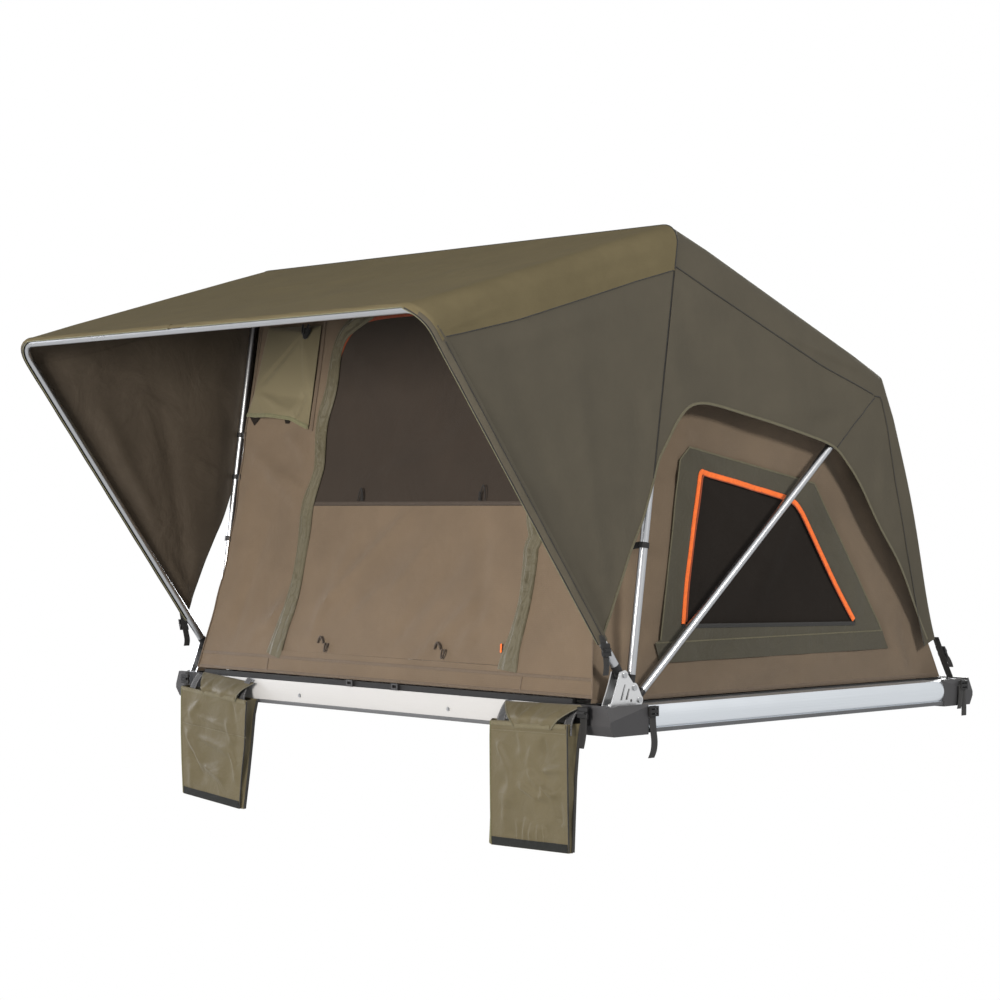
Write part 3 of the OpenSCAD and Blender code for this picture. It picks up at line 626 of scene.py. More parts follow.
# Outer fly, in runs from bar to bar. Each run has its way out, and along it the turn of the side drop (it
# follows the hoops' legs at the ends), the drop's depth and the shoulder's radius.
wrap = 0.0158
awningLeg, ridgeLeg, rearLeg = (hoops[k]["angle"] for k in ("awning", "ridge", "rear"))
runs = {
    "awning": {
        "out": canopyOut, "side": lambda p: (canopyOut + (ridgeLeg - canopyOut) * ease(1 - p / 0.3)
                                             + (awningLeg - canopyOut) * ease((p - 0.7) / 0.3)),
        "depth": ([0, 0.19, 0.41, 0.69, 0.93, 1], [0.1237, 0.1205, 0.1212, 0.1204, 0.1088, 0.104]),
        "round": ([0, 0.15, 0.8, 1], [0.062, 0.052, 0.052, 0.080]), "sag": 0.013},
    "roof": {
        "out": roofOut, "side": lambda p: (roofOut + (ridgeLeg - roofOut) * ease(1 - p / 0.3)
                                           + (rearLeg - roofOut) * ease((p - 0.72) / 0.28)),
        "depth": ([0, 0.18, 0.475, 0.707, 0.935, 1], [0.1205, 0.1192, 0.1137, 0.1087, 0.0921, 0.088]),
        "round": ([0, 0.15, 0.85, 1], [0.062, 0.048, 0.044, 0.056]), "sag": 0.012},
    "rear": {
        "out": rearOut, "side": lambda p: rearOut + (rearLeg - rearOut) * ease(1 - p / 0.22),
        "depth": ([0, 0.03, 0.163, 0.371, 0.618, 1], [0.088, 0.060, 0.0616, 0.0807, 0.087, 0.078]),
        "round": ([0, 0.15, 1], [0.056, 0.034, 0.024]), "sag": 0.010},
}


def overBar(bar, first, last, count, run, p):
    return [{"at": bar + polar(wrap, a), "out": a, "run": run, "p": p}
            for a in np.linspace(first, last, count)]


def toNextBar(first, last, run, count):
    out = runs[run]["out"]
    first, last = first + polar(wrap, out), last + polar(wrap, out)
    return [{"at": first + (last - first) * p, "out": out, "run": run, "p": p}
            for p in np.linspace(0, 1, count)[1:-1]]


def sideWay(station):
    return polar(1, runs[station["run"]]["side"](station["p"]))


def dropDepth(station):
    run = runs[station["run"]]
    lean = math.radians(run["side"](station["p"]) - run["out"])
    return np.interp(station["p"], *run["depth"]) / math.cos(lean)


# The hold-down straps pull the fly's rear corners in
def pulledIn(y, z):
    return 0.032 * ease((y - 0.38) / 0.33) * ease((0.80 - z) / 0.55)


def hump(x, half):
    return np.clip(1 - (x / half) ** 2, 0, 1)


# Cloth over the bars: sagging between them, round over the shoulders, then down both sides to a drop
def barCloth(stations, seed, sideFolds):
    rows = []
    for s in stations:
        run, p = runs[s["run"]], s["p"]
        r, d = np.interp(p, *run["round"]), dropDepth(s)
        flat = np.linspace(0, flyX - r, 34)[:-1]
        arc = np.linspace(0, math.pi / 2, 9)
        fall = np.linspace(0, d - r, 9)[1:]
        half = np.concatenate([flat, flyX - r + r * np.sin(arc), np.full(len(fall), flyX)])
        down = np.concatenate([np.zeros(len(flat)), r * (1 - np.cos(arc)), r + fall])
        if s["run"] != "rear":
            half = half + folds(np.full(len(down), p), down, sideFolds) * np.clip(down * 60, 0, 1)
        x, down = np.concatenate([-half[:0:-1], half]), np.concatenate([down[:0:-1], down])
        swell = math.sin(math.pi * min(p, 1)) if s["run"] != "rear" else math.sin(math.pi * p * 0.86)
        sag = run["sag"] * swell * hump(x, 0.93)
        sag = sag + uneven(x, p + 0 * x, seed, 0.5, 0.0022) * swell * hump(x, 0.95)
        sag = sag + uneven(x, p + 0 * x, seed + 1, 0.16, 0.0007) * swell * hump(x, 0.95)
        out, side = polar(1, s["out"]), sideWay(s)
        y, z = (s["at"][k] - side[k] * down - out[k] * sag for k in (0, 1))
        rows.append(np.stack([x * (1 - pulledIn(y, z) / flyX), y, z], 1))
    return np.array(rows)


def dropEdge(stations, lift):
    return [s["at"] - sideWay(s) * (dropDepth(s) - lift) for s in stations]


awningStations = (overBar(ridgeBar, 88.5, canopyOut, 5, "awning", 0.0)
                  + toNextBar(ridgeBar, awningBar, "awning", 44)
                  + overBar(awningBar, canopyOut, 166, 9, "awning", 1.0))
awningCloth = barCloth(awningStations, 61, [(0.05, 0.10, 0.5, 0.085, 0.002, 0.012),
                                            (0.98, 0.09, 0.7, 0.07, 0.002, 0.01)])
awningCanopy = clothGrid("awningCanopyCloth", awningCloth, [oxfordOlive, coatedInside], (0, -0.9, 0.7))
replacing(awningCanopy, "awning_hoop", "fly_olive", "awning_canopy")
flattening(awningCanopy)

roofStations = (overBar(ridgeBar, 85.5, roofOut, 5, "roof", 0.0) + toNextBar(ridgeBar, rearBar, "roof", 44)
                + overBar(rearBar, roofOut, rearLeg, 4, "roof", 1.0))
rearStations = (overBar(rearBar, rearLeg, rearOut, 4, "rear", 0.0)[1:]
                + toNextBar(rearBar, rearHem, "rear", 40)
                + [{"at": rearHem + polar(wrap, rearOut), "out": rearOut, "run": "rear", "p": 1.0}])
flyCloth = barCloth(roofStations + rearStations, 67,
                    [(0.535, 0.092, 0.943, 0.030, 0.006, 0.013), (0.30, 0.04, 0.62, 0.075, 0.003, 0.016)])
flyMain = clothGrid("flyRoofAndRearCloth", flyCloth, [oxfordDark, coatedInside], (0, 0.1, 0.6))
replacing(flyMain, "base", "fly_dark", "fly_roof", "fly_rear")
flattening(flyMain)

# Piping where the awning meets the roof, over the ridge from side to side
row = (awningCloth[0] + flyCloth[0]) / 2
ridgePiping = cordThrough("ridgePiping", row, 0.0022, bindingBlack)
flattening(replacing(ridgePiping, "base", "fly_dark"))
print("fly over the bars made")


# Nothing on a side panel stands proud where the roof's drop lies over it
def clearOf(u, v, run, bar):
    out = polar(1, runs[run]["out"])
    depth = (bar + out * wrap) @ out - (u * out[0] + v * out[1])
    return np.clip((depth - max(runs[run]["depth"][1])) * 22, 0, 1)


def flyPlace(side, x):
    return lambda u, v, w: np.stack([side * (x - pulledIn(u, v) + w), u, v], -1)


# Side panels of the fly, in side view
meeting = onRidgeLeg(0.722)
archLine = curved([meeting, (-0.594, 0.775), (-0.556, 0.832), (-0.520, 0.884), (-0.475, 0.924),
                   (-0.421, 0.937), (-0.350, 0.932), (-0.236, 0.912), (-0.091, 0.885), (0.032, 0.860),
                   (0.130, 0.838), (0.183, 0.818), (0.225, 0.785), (0.297, 0.712), (0.394, 0.585),
                   (0.503, 0.462), (0.600, 0.330), (0.672, 0.228)], 0.02)
flySideOutline = np.array(
    [onRidgeLeg(0.722, 0.0012), onRidgeLeg(1.25, 0.0012)] + dropEdge(roofStations, 0.012)[2:]
    + dropEdge(rearStations, 0.010) + [rearHem - polar(0.004, rearOut)] + list(archLine[::-1][:-1]))


def flySideRelief(u, v):
    drawn = folds(u, v, [(0.34, 0.93, -0.10, 0.93, 0.005, 0.02), (0.38, 0.965, 0.05, 0.89, -0.005, 0.02),
                         (0.41, 0.96, 0.40, 0.66, 0.006, 0.02), (0.44, 0.93, 0.56, 0.46, -0.006, 0.025),
                         (-0.53, 1.27, -0.42, 0.98, -0.004, 0.03), (-0.51, 1.27, -0.2, 1.08, 0.003, 0.03),
                         (-0.55, 1.10, -0.50, 0.93, 0.003, 0.02)])
    drawn = (drawn + uneven(u, v, 3, 0.45, 0.0018)) * np.clip((u + 0.64) * 8, 0, 1)
    return drawn * clearOf(u, v, "roof", rearBar) * clearOf(u, v, "rear", rearBar)


for side, label in ((1, "right"), (-1, "left")):
    place = flyPlace(side, flyX - 0.0016)
    panel = clothPanel(label + "FlySideCloth", flySideOutline, place, [oxfordDark, coatedInside], step=0.022,
                       relief=flySideRelief)
    replacing(panel, "base", "fly_dark", label + "_fly_side")
    flattening(panel)
    trims = {
        "ArchBinding": {"line": archLine, "width": 0.008, "material": bindingDark, "thickness": 0.0014},
        "RearLegSeam": {"line": [(0.368, 0.977), (0.270, 0.898), (0.186, 0.822)], "width": 0.003,
                        "material": bindingBlack, "thickness": 0.0007},
    }
    for name, trim in trims.items():
        tape = tapeOn(label + name, trim["line"], place, trim["width"], trim["material"], lift=0.0004,
                      thickness=trim["thickness"], relief=flySideRelief)
        flattening(replacing(tape, "base", "fly_dark"))
    # Felled seams along the lower edges of the roof panel and the rear panel
    for name, stations in (("RoofSeam", roofStations[3:-1]), ("RearSeam", rearStations[2:])):
        seam = tapeOn(label + name, dropEdge(stations, 0.0012), flyPlace(side, flyX), 0.0026, bindingBlack,
                      lift=0.0001, thickness=0.0007)
        flattening(replacing(seam, "base", "fly_dark"))

awningPivot = hoops["awning"]["pivot"]
awningEdge = curved([meeting, (-0.657, 0.612), (-0.694, 0.543), (-0.729, 0.473), (-0.775, 0.372),
                     (-0.806, 0.300)], 0.02)
awningSideOutline = np.array(
    [awningPivot + polar(along, awningLeg) + polar(0.006, awningLeg + 90) for along in (0.124, 1.105)]
    + dropEdge(awningStations, 0.012)[1:-9][::-1] + [onRidgeLeg(1.25, -0.0014)] + list(awningEdge))


def awningSideRelief(u, v):
    inside = np.clip((onRidgeLeg(v)[0] - u) * 8, 0, 1)
    drawn = folds(u, v, [(-0.80, 0.33, -1.16, 0.98, -0.007, 0.026), (-0.79, 0.36, -0.92, 1.04, 0.005, 0.03),
                         (-0.70, 0.56, -0.66, 0.95, -0.004, 0.022), (-1.30, 1.04, -0.80, 1.18, 0.004, 0.03),
                         (-0.82, 0.42, -1.05, 0.72, 0.005, 0.02), (-0.80, 0.31, -0.72, 0.50, 0.004, 0.010)])
    drawn = (drawn + uneven(u, v, 8, 0.5, 0.0022)) * inside - 0.007 * inside * np.clip((1.15 - v) * 3, 0, 1)
    return drawn * clearOf(u, v, "awning", awningBar)


for side, label in ((1, "right"), (-1, "left")):
    place = sidePlace(side, flyX - 0.0016)
    panel = clothPanel(label + "AwningSideCloth", awningSideOutline, place, [oxfordDark, coatedInside],
                       step=0.022, relief=awningSideRelief)
    replacing(panel, "awning_hoop", "fly_dark", label + "_awning_side")
    flattening(panel)
    trims = {
        "AwningEdgeBinding": {"line": awningEdge, "width": 0.008, "material": bindingDark,
                              "thickness": 0.0014, "lift": 0.0004, "relief": awningSideRelief},
        "RidgeLegSeam": {"line": [onRidgeLeg(0.722, -0.003), onRidgeLeg(1.305, -0.003)], "width": 0.0028,
                         "material": bindingBlack, "thickness": 0.0009, "lift": 0.0004, "relief": None},
        "AwningSeam": {"line": dropEdge(awningStations, 0.0012)[3:-8], "width": 0.0026,
                       "material": bindingBlack, "thickness": 0.0007, "lift": 0.0017, "relief": None},
    }
    for name, trim in trims.items():
        tape = tapeOn(label + name, trim["line"], place, trim["width"], trim["material"], lift=trim["lift"],
                      thickness=trim["thickness"], relief=trim["relief"])
        flattening(replacing(tape, "awning_hoop", "fly_dark"))
print("fly sides made")


# Sleeves that hold the fly to the awning hoop: cloth round the outside and front of the legs, over the
# corner, and over the top of the bar, with a gap in the middle of the bar. Turns round the tube are in degrees.
hoopSleeve = {"start": 0.120, "step": 0.02, "bend": 0.070, "cornerPoints": 12, "barPoints": 44,
              "radius": 0.0172, "firstTurn": -34, "lastTurnOnBar": 42, "furtherOnLegs": 62, "partsAround": 10}


# Middle of a hoop's tube from a leg to the stop on its bar, with the way out of the hoop at each point
def hoopLine(hoop, stop):
    pivot, length, angle, bend = hoop["pivot"], hoop["length"], hoop["angle"], hoopSleeve["bend"]
    legs = np.arange(hoopSleeve["start"], length - bend, hoopSleeve["step"])
    turn = np.linspace(0, math.pi / 2, hoopSleeve["cornerPoints"])
    bar = np.linspace(legX - bend, stop, hoopSleeve["barPoints"])[1:]
    far = np.concatenate([legs, length - bend + bend * np.sin(turn), np.full(len(bar), length)])
    x = np.concatenate([np.full(len(legs), legX), legX - bend + bend * np.cos(turn), bar])
    outX = np.concatenate([np.ones(len(legs)), np.cos(turn), np.zeros(len(bar))])
    outL = np.sqrt(np.clip(1 - outX ** 2, 0, 1))
    leg = polar(1, angle)
    line = np.stack([x, pivot[0] + leg[0] * far, pivot[1] + leg[1] * far], 1)
    return line, np.stack([outX, leg[0] * outL, leg[1] * outL], 1)


frontWay = np.array([0, *(-polar(1, awningLeg - 90))])
firstTurn, partsAround = hoopSleeve["firstTurn"], hoopSleeve["partsAround"]
offBar = slice(None, -hoopSleeve["barPoints"])
offCorner = slice(None, -hoopSleeve["barPoints"] - hoopSleeve["cornerPoints"])
for side, label, stop in ((1, "right", -0.058), (-1, "left", 0.140)):
    flip = np.array([side, 1, 1])
    line, out = hoopLine(hoops["awning"], stop)
    steps = np.linalg.norm(np.diff(line, axis=0, prepend=line[:1]), axis=1).cumsum()
    ends = hoopSleeve["lastTurnOnBar"] + hoopSleeve["furtherOnLegs"] * out[:, 0] ** 0.6

    def aroundTube(radius, degrees):
        a = np.radians(degrees)[:, None]
        return (line + np.reshape(radius, (-1, 1)) * (np.cos(a) * out + np.sin(a) * frontWay)) * flip

    rows = np.stack([aroundTube(hoopSleeve["radius"] + 0.0005 * np.sin(steps * 40 + k),
                                firstTurn + (ends - firstTurn) * k / partsAround)
                     for k in range(partsAround + 1)], 1)
    sleeve = clothGrid(label + "AwningSleeve", rows, [oxfordOlive, coatedInside], (0, -0.9, 0.6),
                       thickness=0.0009)
    # On the legs it is the side panel's own cloth that goes round
    sleeve.data.materials.append(oxfordDark)
    onLeg = out[:, 0] > 0.75
    for face in sleeve.data.polygons[:partsAround * (len(line) - 1)]:
        face.material_index = 2 if onLeg[face.index // partsAround] else 0
    replacing(sleeve, "awning_hoop", "fly_olive")
    piping = cordThrough(label + "AwningPiping", aroundTube(0.0170, ends), 0.0014, bindingOlive)
    replacing(piping, "awning_hoop", "fly_olive")
    # A black cord round the tube near the sleeve's edge: painted shadow of the groove between the sleeve and
    # the tube
    awningShadowCord = cordThrough(label + "AwningPaintedShadow", aroundTube(0.0166, ends * 0.84)[offBar], 0.0022,
                         bindingBlack)
    replacing(awningShadowCord, "awning_hoop", "webbing_black")
    seam = cordThrough(label + "AwningLegSeam", aroundTube(0.0176, 14 + 0 * ends)[offCorner], 0.0011,
                       bindingBlack)
    replacing(seam, "awning_hoop", "fly_dark")
print("awning sleeves made")

# Inner tent: front wall
doorOutline = curved([(-0.506, 0.088), (-0.484, 0.18), (-0.464, 0.30), (-0.455, 0.42), (-0.461, 0.56),
                      (-0.447, 0.65), (-0.455, 0.78), (-0.454, 0.98), (-0.430, 1.095), (-0.366, 1.155),
                      (-0.250, 1.172), (0.0, 1.172), (0.300, 1.172), (0.440, 1.150), (0.520, 1.085),
                      (0.548, 0.99), (0.556, 0.80), (0.556, 0.40), (0.556, 0.088)], 0.04)


def frontRelief(u, v):
    return (folds(u, v, [(-0.503, 0.597, -0.819, 0.733, 0.009, 0.020),
                         (-0.513, 0.557, -0.709, 0.664, 0.007, 0.016),
                         (-0.64, 0.80, -0.50, 0.70, 0.006, 0.02), (-0.88, 0.15, -0.82, 0.62, 0.005, 0.03),
                         (-0.76, 0.10, -0.66, 0.52, -0.005, 0.03),
                         (-0.675, 0.110, -0.510, 0.233, 0.006, 0.018),
                         (-0.598, 0.136, -0.491, 0.259, 0.006, 0.014), (0.88, 0.12, 0.80, 0.70, 0.005, 0.03),
                         (0.90, 0.30, 0.62, 0.60, -0.006, 0.03), (0.62, 0.85, 0.86, 1.2, 0.005, 0.03)],
                  1.6) * 1.3
            + uneven(u, v, 11, 0.35, 0.0012)) * np.clip((0.85 - np.abs(u)) * 20, 0, 1)


# The wall's edges are drawn in between the floor, the clips on the poles and the ridge
def drawnIn(v):
    scallop = 0.005 * np.cos((np.clip(v, 0.2, 0.9) - 0.443) * 2 * math.pi / 0.19)
    drawn = np.interp(v, [0.014, 0.08, 0.2, 0.36, 0.52, 0.66, 0.80, 1.0, 1.3067],
                      [0.0, 0.012, 0.036, 0.056, 0.060, 0.052, 0.042, 0.034, 0.010])
    return drawn - scallop * ease(v * 4 - 0.3) * 0.6


edgeRise = np.linspace(0.014, 1.3067, 40)
frontOutline = ([(-wallX + drawnIn(v), v) for v in edgeRise]
                + [(wallX - drawnIn(v), v) for v in edgeRise[::-1]])
frontWall = clothPanel("frontWallCloth", frontOutline, frontPlace, [canvasBrown], holes=[doorOutline],
                       relief=frontRelief, base=-0.0015)
flattening(replacing(frontWall, "base", "canvas_brown", "front_wall"))


def doorRelief(u, v):
    lower = folds(u, v, [(-0.335, 0.222, 0.036, 0.535, 0.010, 0.018),
                         (0.157, 0.084, 0.407, 0.293, 0.009, 0.017),
                         (-0.018, 0.281, 0.138, 0.435, 0.006, 0.016),
                         (0.323, 0.112, 0.450, 0.235, 0.006, 0.015), (-0.36, 0.12, -0.20, 0.50, 0.005, 0.025),
                         (0.42, 0.14, 0.36, 0.53, -0.005, 0.03), (0.02, 0.12, 0.30, 0.42, -0.006, 0.028),
                         (-0.22, 0.20, 0.02, 0.42, -0.006, 0.024)], 1.6)
    return lower * 1.2 + uneven(u, v, 21, 0.3, 0.0012) - 0.002


doorPanelTop = 0.5552
doorPanelOutline = ([(u, v) for u, v in doorOutline if v < doorPanelTop and u < 0]
                    + [(-0.4595, doorPanelTop), (0.555, doorPanelTop), (0.555, 0.089)])
doorPanel = clothPanel("doorPanelCloth", doorPanelOutline, frontPlace, [canvasBrown], relief=doorRelief)
flattening(replacing(doorPanel, "base", "canvas_brown", "door_panel"))
meshOutline = ([(-0.454, 0.556)] + [(u * 0.998, v - 0.001) for u, v in doorOutline if v > 0.57]
               + [(0.555, 0.556)])


def meshRelief(u, v):
    belly = np.clip(1 - ((u - 0.05) / 0.5) ** 2, 0, 1) * np.sin(np.clip((v - 0.556) / 0.616, 0, 1) * math.pi)
    return (-0.003 - 0.010 * belly
            + folds(u, v, [(-0.42, 1.08, 0.10, 0.80, 0.004, 0.04), (0.50, 1.05, 0.10, 0.70, 0.004, 0.04),
                           (-0.30, 0.60, 0.20, 0.75, 0.003, 0.03)]))


doorMesh = clothPanel("doorMeshCloth", meshOutline, frontPlace, [nettingOverShadeBrown], relief=meshRelief)
flattening(replacing(doorMesh, "base", "mesh_dark", "door_mesh"))

frontTrims = {
    "doorPanelHem": {"line": [(-0.452, 0.548), (0.553, 0.548)], "width": 0.014, "material": hemBrown,
                     "lift": -0.0015, "relief": doorRelief, "slot": "canvas_brown"},
    "meshHem": {"line": [(-0.452, 0.563), (0.553, 0.563)], "width": 0.011, "material": bindingBrown,
                "lift": -0.0030, "relief": None, "slot": "mesh_dark"},
    "hemBandSeam": {"line": [(-0.900, 0.066), (0.900, 0.066)], "width": 0.010, "material": hemBrown,
                    "lift": -0.0008, "relief": frontRelief, "slot": "canvas_brown"},
    "hemBandSeamLeft": {"line": [(-0.545, 0.016), (-0.545, 0.066)], "width": 0.005, "material": hemBrown,
                        "lift": -0.0008, "relief": frontRelief, "slot": "canvas_brown"},
    "hemBandSeamRight": {"line": [(0.620, 0.016), (0.620, 0.066)], "width": 0.005, "material": hemBrown,
                         "lift": -0.0008, "relief": frontRelief, "slot": "canvas_brown"},
    "bottomHem": {"line": [(-0.905, 0.019), (0.905, 0.019)], "width": 0.010, "material": hemBrown,
                  "lift": -0.0006, "relief": frontRelief, "slot": "canvas_brown"},
}
for name, trim in frontTrims.items():
    tape = tapeOn(name, trim["line"], frontPlace, trim["width"], trim["material"], lift=trim["lift"],
                  relief=trim["relief"])
    flattening(replacing(tape, "base", trim["slot"]))

zipLine = [(-0.449, 0.64)] + [(u * 0.985, v - 0.008) for u, v in doorOutline if v > 0.62] + [(0.549, 0.64)]
doorZip = tapeOn("doorZipTape", zipLine, frontPlace, 0.013, zipRust, lift=-0.0012, thickness=0.0012)
flattening(replacing(doorZip, "base", "trim_olive"))


# Gathered strips beside the door: two pleats across, with the creases of cloth that is tied back
strips = {
    "left": [(-0.522, 0.070), (-0.498, 0.165), (-0.480, 0.225), (-0.467, 0.300), (-0.464, 0.380),
             (-0.466, 0.460), (-0.474, 0.555), (-0.455, 0.635), (-0.447, 0.680), (-0.457, 0.740),
             (-0.468, 0.800), (-0.468, 0.850), (-0.458, 0.900), (-0.452, 0.950), (-0.455, 1.050),
             (-0.438, 1.112), (-0.392, 1.150), (-0.310, 1.190)],
    "right": [(0.556, 0.074), (0.562, 0.130), (0.576, 0.200), (0.586, 0.280), (0.584, 0.380), (0.580, 0.430),
              (0.590, 0.470), (0.566, 0.530), (0.562, 0.640), (0.560, 0.800), (0.550, 0.960), (0.530, 1.080),
              (0.486, 1.150), (0.410, 1.190)],
}


def gatheredStrip(name, path, seed):
    line = curved(path, 0.007)
    way = unit(np.gradient(line, axis=0))
    sideways = np.stack([way[:, 1], -way[:, 0]], 1)
    along = np.concatenate([[0], np.linalg.norm(np.diff(line, axis=0), axis=1).cumsum()])
    t = np.linspace(0, 1, 29)
    rows = []
    for i, s in enumerate(along):
        pinch = 1 - 0.16 * math.sin(s * 9 + seed) ** 2 - 0.10 * math.exp(-((s - 0.58) / 0.05) ** 2)
        pleats = 0.62 + 0.38 * np.cos(4 * math.pi * t + 0.5 * math.sin(s * 6))
        lift = 0.0045 + 0.009 * np.sin(math.pi * t) * pleats
        twist = 0.4 + 1.2 * math.exp(-((s - 0.22) / 0.05) ** 2) + 1.4 * math.exp(-((s - 0.69) / 0.06) ** 2)
        creases = 0.0012 * np.sin(t * 15 - s * 150 + seed) * np.sin(math.pi * t) * twist
        creases = creases + 0.0011 * np.sin(t * 11 - s * 60) * np.sin(math.pi * t)
        across = (0.060 * pinch + 0.020 * math.exp(-(s / 0.06) ** 2)) * (t - 0.5)
        u = line[i, 0] + sideways[i, 0] * across
        v = line[i, 1] + sideways[i, 1] * across
        rows.append(frontPlace(u, v, lift + creases - 0.004 * (1 - np.sin(math.pi * t)) ** 6))
    return clothGrid(name, np.array(rows), [lightOlive], (0, 0.5, 0.5), thickness=0.0012)


for number, (label, path) in enumerate(strips.items()):
    strip = gatheredStrip(label + "GatheredStrip", path, number + 2)
    replacing(strip, "base", "trim_olive", *(["door_strips"] if label == "left" else []))
    flattening(strip)

# Vent hood at the upper left, a box pleat held up by a toggle. Its facets meet at points, (u, v, height).
hoodPoints = np.array([(-0.834, 1.157, 0.005), (-0.552, 1.152, 0.006), (-0.598, 1.124, 0.036),
                       (-0.818, 0.932, 0.030), (-0.866, 0.856, 0.008), (-0.620, 0.862, 0.030),
                       (-0.532, 0.805, 0.006), (-0.536, 0.900, 0.006), (-0.572, 0.905, 0.010),
                       (-0.740, 0.851, 0.030), (-0.845, 0.940, 0.004)])
hoodFacets = [(0, 1, 2), (0, 2, 3), (0, 3, 10), (10, 3, 4), (3, 9, 4), (3, 5, 9), (3, 2, 8), (3, 8, 5),
              (2, 1, 7), (2, 7, 8), (8, 7, 6), (8, 6, 5), (9, 5, 6)]
hoodOutline = ([tuple(hoodPoints[i, :2]) for i in (0, 1, 7, 6)]
               + [(-0.612, 0.834), (-0.700, 0.844), (-0.800, 0.849), (-0.866, 0.856), (-0.845, 0.940)])


def hoodRelief(u, v):
    height, best = np.zeros(np.shape(u)), np.full(np.shape(u), -1e9)
    for corners in hoodFacets:
        a, b, c = hoodPoints[list(corners)]
        area = (b[0] - a[0]) * (c[1] - a[1]) - (c[0] - a[0]) * (b[1] - a[1])
        p = ((b[0] - u) * (c[1] - v) - (c[0] - u) * (b[1] - v)) / area
        q = ((c[0] - u) * (a[1] - v) - (a[0] - u) * (c[1] - v)) / area
        within = np.minimum(np.minimum(p, q), 1 - p - q)
        height = np.where(within > best, p * a[2] + q * b[2] + (1 - p - q) * c[2], height)
        best = np.maximum(best, within)
    crumple = folds(u, v, [(-0.616, 1.105, -0.800, 0.950, -0.006, 0.009),
                           (-0.600, 1.110, -0.560, 0.93, 0.004, 0.012),
                           (-0.590, 0.835, -0.578, 0.930, -0.008, 0.010),
                           (-0.780, 0.925, -0.660, 0.875, 0.004, 0.008)])
    return np.clip(height, 0.002, 0.04) + crumple


hood = clothPanel("ventHoodCloth", hoodOutline, frontPlace, [hoodOlive], step=0.009, relief=hoodRelief)
flattening(replacing(hood, "base", "trim_olive", "vent_hood"))
hoodHem = tapeOn("ventHoodHem", [(-0.862, 0.862), (-0.800, 0.855), (-0.700, 0.850), (-0.612, 0.840),
                                 (-0.535, 0.812)],
                 frontPlace, 0.014, bindingOlive, relief=hoodRelief, thickness=0.0014, step=0.01)
flattening(replacing(hoodHem, "base", "trim_olive"))
# Dark netting laid in the openings under the hood's hem: painted shade of the vent's inside
ventGaps = {"ventGapNetting": [(-0.860, 0.858), (-0.800, 0.852), (-0.826, 0.826)],
            "ventGapNettingSmall": [(-0.668, 0.842), (-0.636, 0.840), (-0.640, 0.828), (-0.660, 0.828)]}
for name, outline in ventGaps.items():
    gap = clothPanel(name, outline, frontPlace, [nettingOverShadeDark], step=0.012, base=0.0014, thickness=0.0008)
    flattening(replacing(gap, "base", "mesh_dark"))
ventTapes = {"ventSideTape0": ([(-0.874, 1.17), (-0.862, 0.87)], 0.006),
             "ventSideTape1": ([(-0.517, 0.80), (-0.540, 1.17)], 0.012)}
for name, (line, width) in ventTapes.items():
    tape = tapeOn(name, line, frontPlace, width, hemBrown, lift=0.0004, relief=frontRelief)
    flattening(replacing(tape, "base", "trim_olive"))
# A black tape along the door's lower left edge: painted shade of the dark inside seen through the gap there
gapShadeTape = tapeOn("doorSlitPaintedShade", [(-0.498, 0.086), (-0.489, 0.125), (-0.478, 0.175)], frontPlace, 0.009, bindingBlack,
              lift=0.0008)
flattening(replacing(gapShadeTape, "base", "mesh_dark"))


# A short loop of cord on the front wall. It hangs by its drop, or stands up where that is below zero.
def loopOn(name, loop, slot, lift):
    t = np.linspace(0, 1, 22)
    u = loop["middle"][0] + loop["width"] * (t - 0.5)
    v = loop["middle"][1] - loop["drop"] * np.sin(math.pi * t) ** 0.7
    line = frontPlace(u, v, lift + 0.004 * np.sin(math.pi * t))
    cord = cordThrough(name, line, loop["radius"], loop["material"])
    flattening(replacing(cord, "base", slot))


loops = {
    "meshLoopLeft": {"middle": (-0.212, 0.569), "width": 0.024, "drop": -0.040, "radius": 0.0015,
                     "material": webbingBlack},
    "meshLoopLeftToggle": {"middle": (-0.208, 0.569), "width": 0.007, "drop": -0.036, "radius": 0.0014,
                           "material": webbingBlack},
    "meshLoopRight": {"middle": (0.346, 0.569), "width": 0.024, "drop": -0.046, "radius": 0.0015,
                      "material": webbingBlack},
    "meshLoopRightToggle": {"middle": (0.334, 0.569), "width": 0.008, "drop": -0.026, "radius": 0.0014,
                            "material": webbingBlack},
    "tieLeft": {"middle": (-0.292, 0.118), "width": 0.026, "drop": -0.020, "radius": 0.0030,
                "material": bindingBrown},
    "tieLeftTail": {"middle": (-0.262, 0.120), "width": 0.014, "drop": 0.028, "radius": 0.0026,
                    "material": bindingBrown},
    "tieRight": {"middle": (0.252, 0.122), "width": 0.026, "drop": -0.020, "radius": 0.0030,
                 "material": bindingBrown},
    "tieRightTail": {"middle": (0.280, 0.124), "width": 0.014, "drop": 0.028, "radius": 0.0026,
                     "material": bindingBrown},
    "hoodToggleLoop": {"middle": (-0.600, 1.150), "width": 0.030, "drop": 0.034, "radius": 0.0034,
                       "material": webbingBlack},
    "hoodToggle": {"middle": (-0.588, 1.136), "width": 0.020, "drop": 0.030, "radius": 0.0070,
                   "material": webbingBlack},
}
for name, loop in loops.items():
    loopOn(name, loop, "webbing_black" if loop["material"] is webbingBlack else "canvas_brown",
           0.032 if name.startswith("hood") else 0.005)
pull = tapeOn("doorZipPull", [(0.520, 0.150), (0.524, 0.125)], frontPlace, 0.007, zipOrange, lift=0.004,
              thickness=0.0015)
flattening(replacing(pull, "base", "trim_olive"))
print("front wall made")

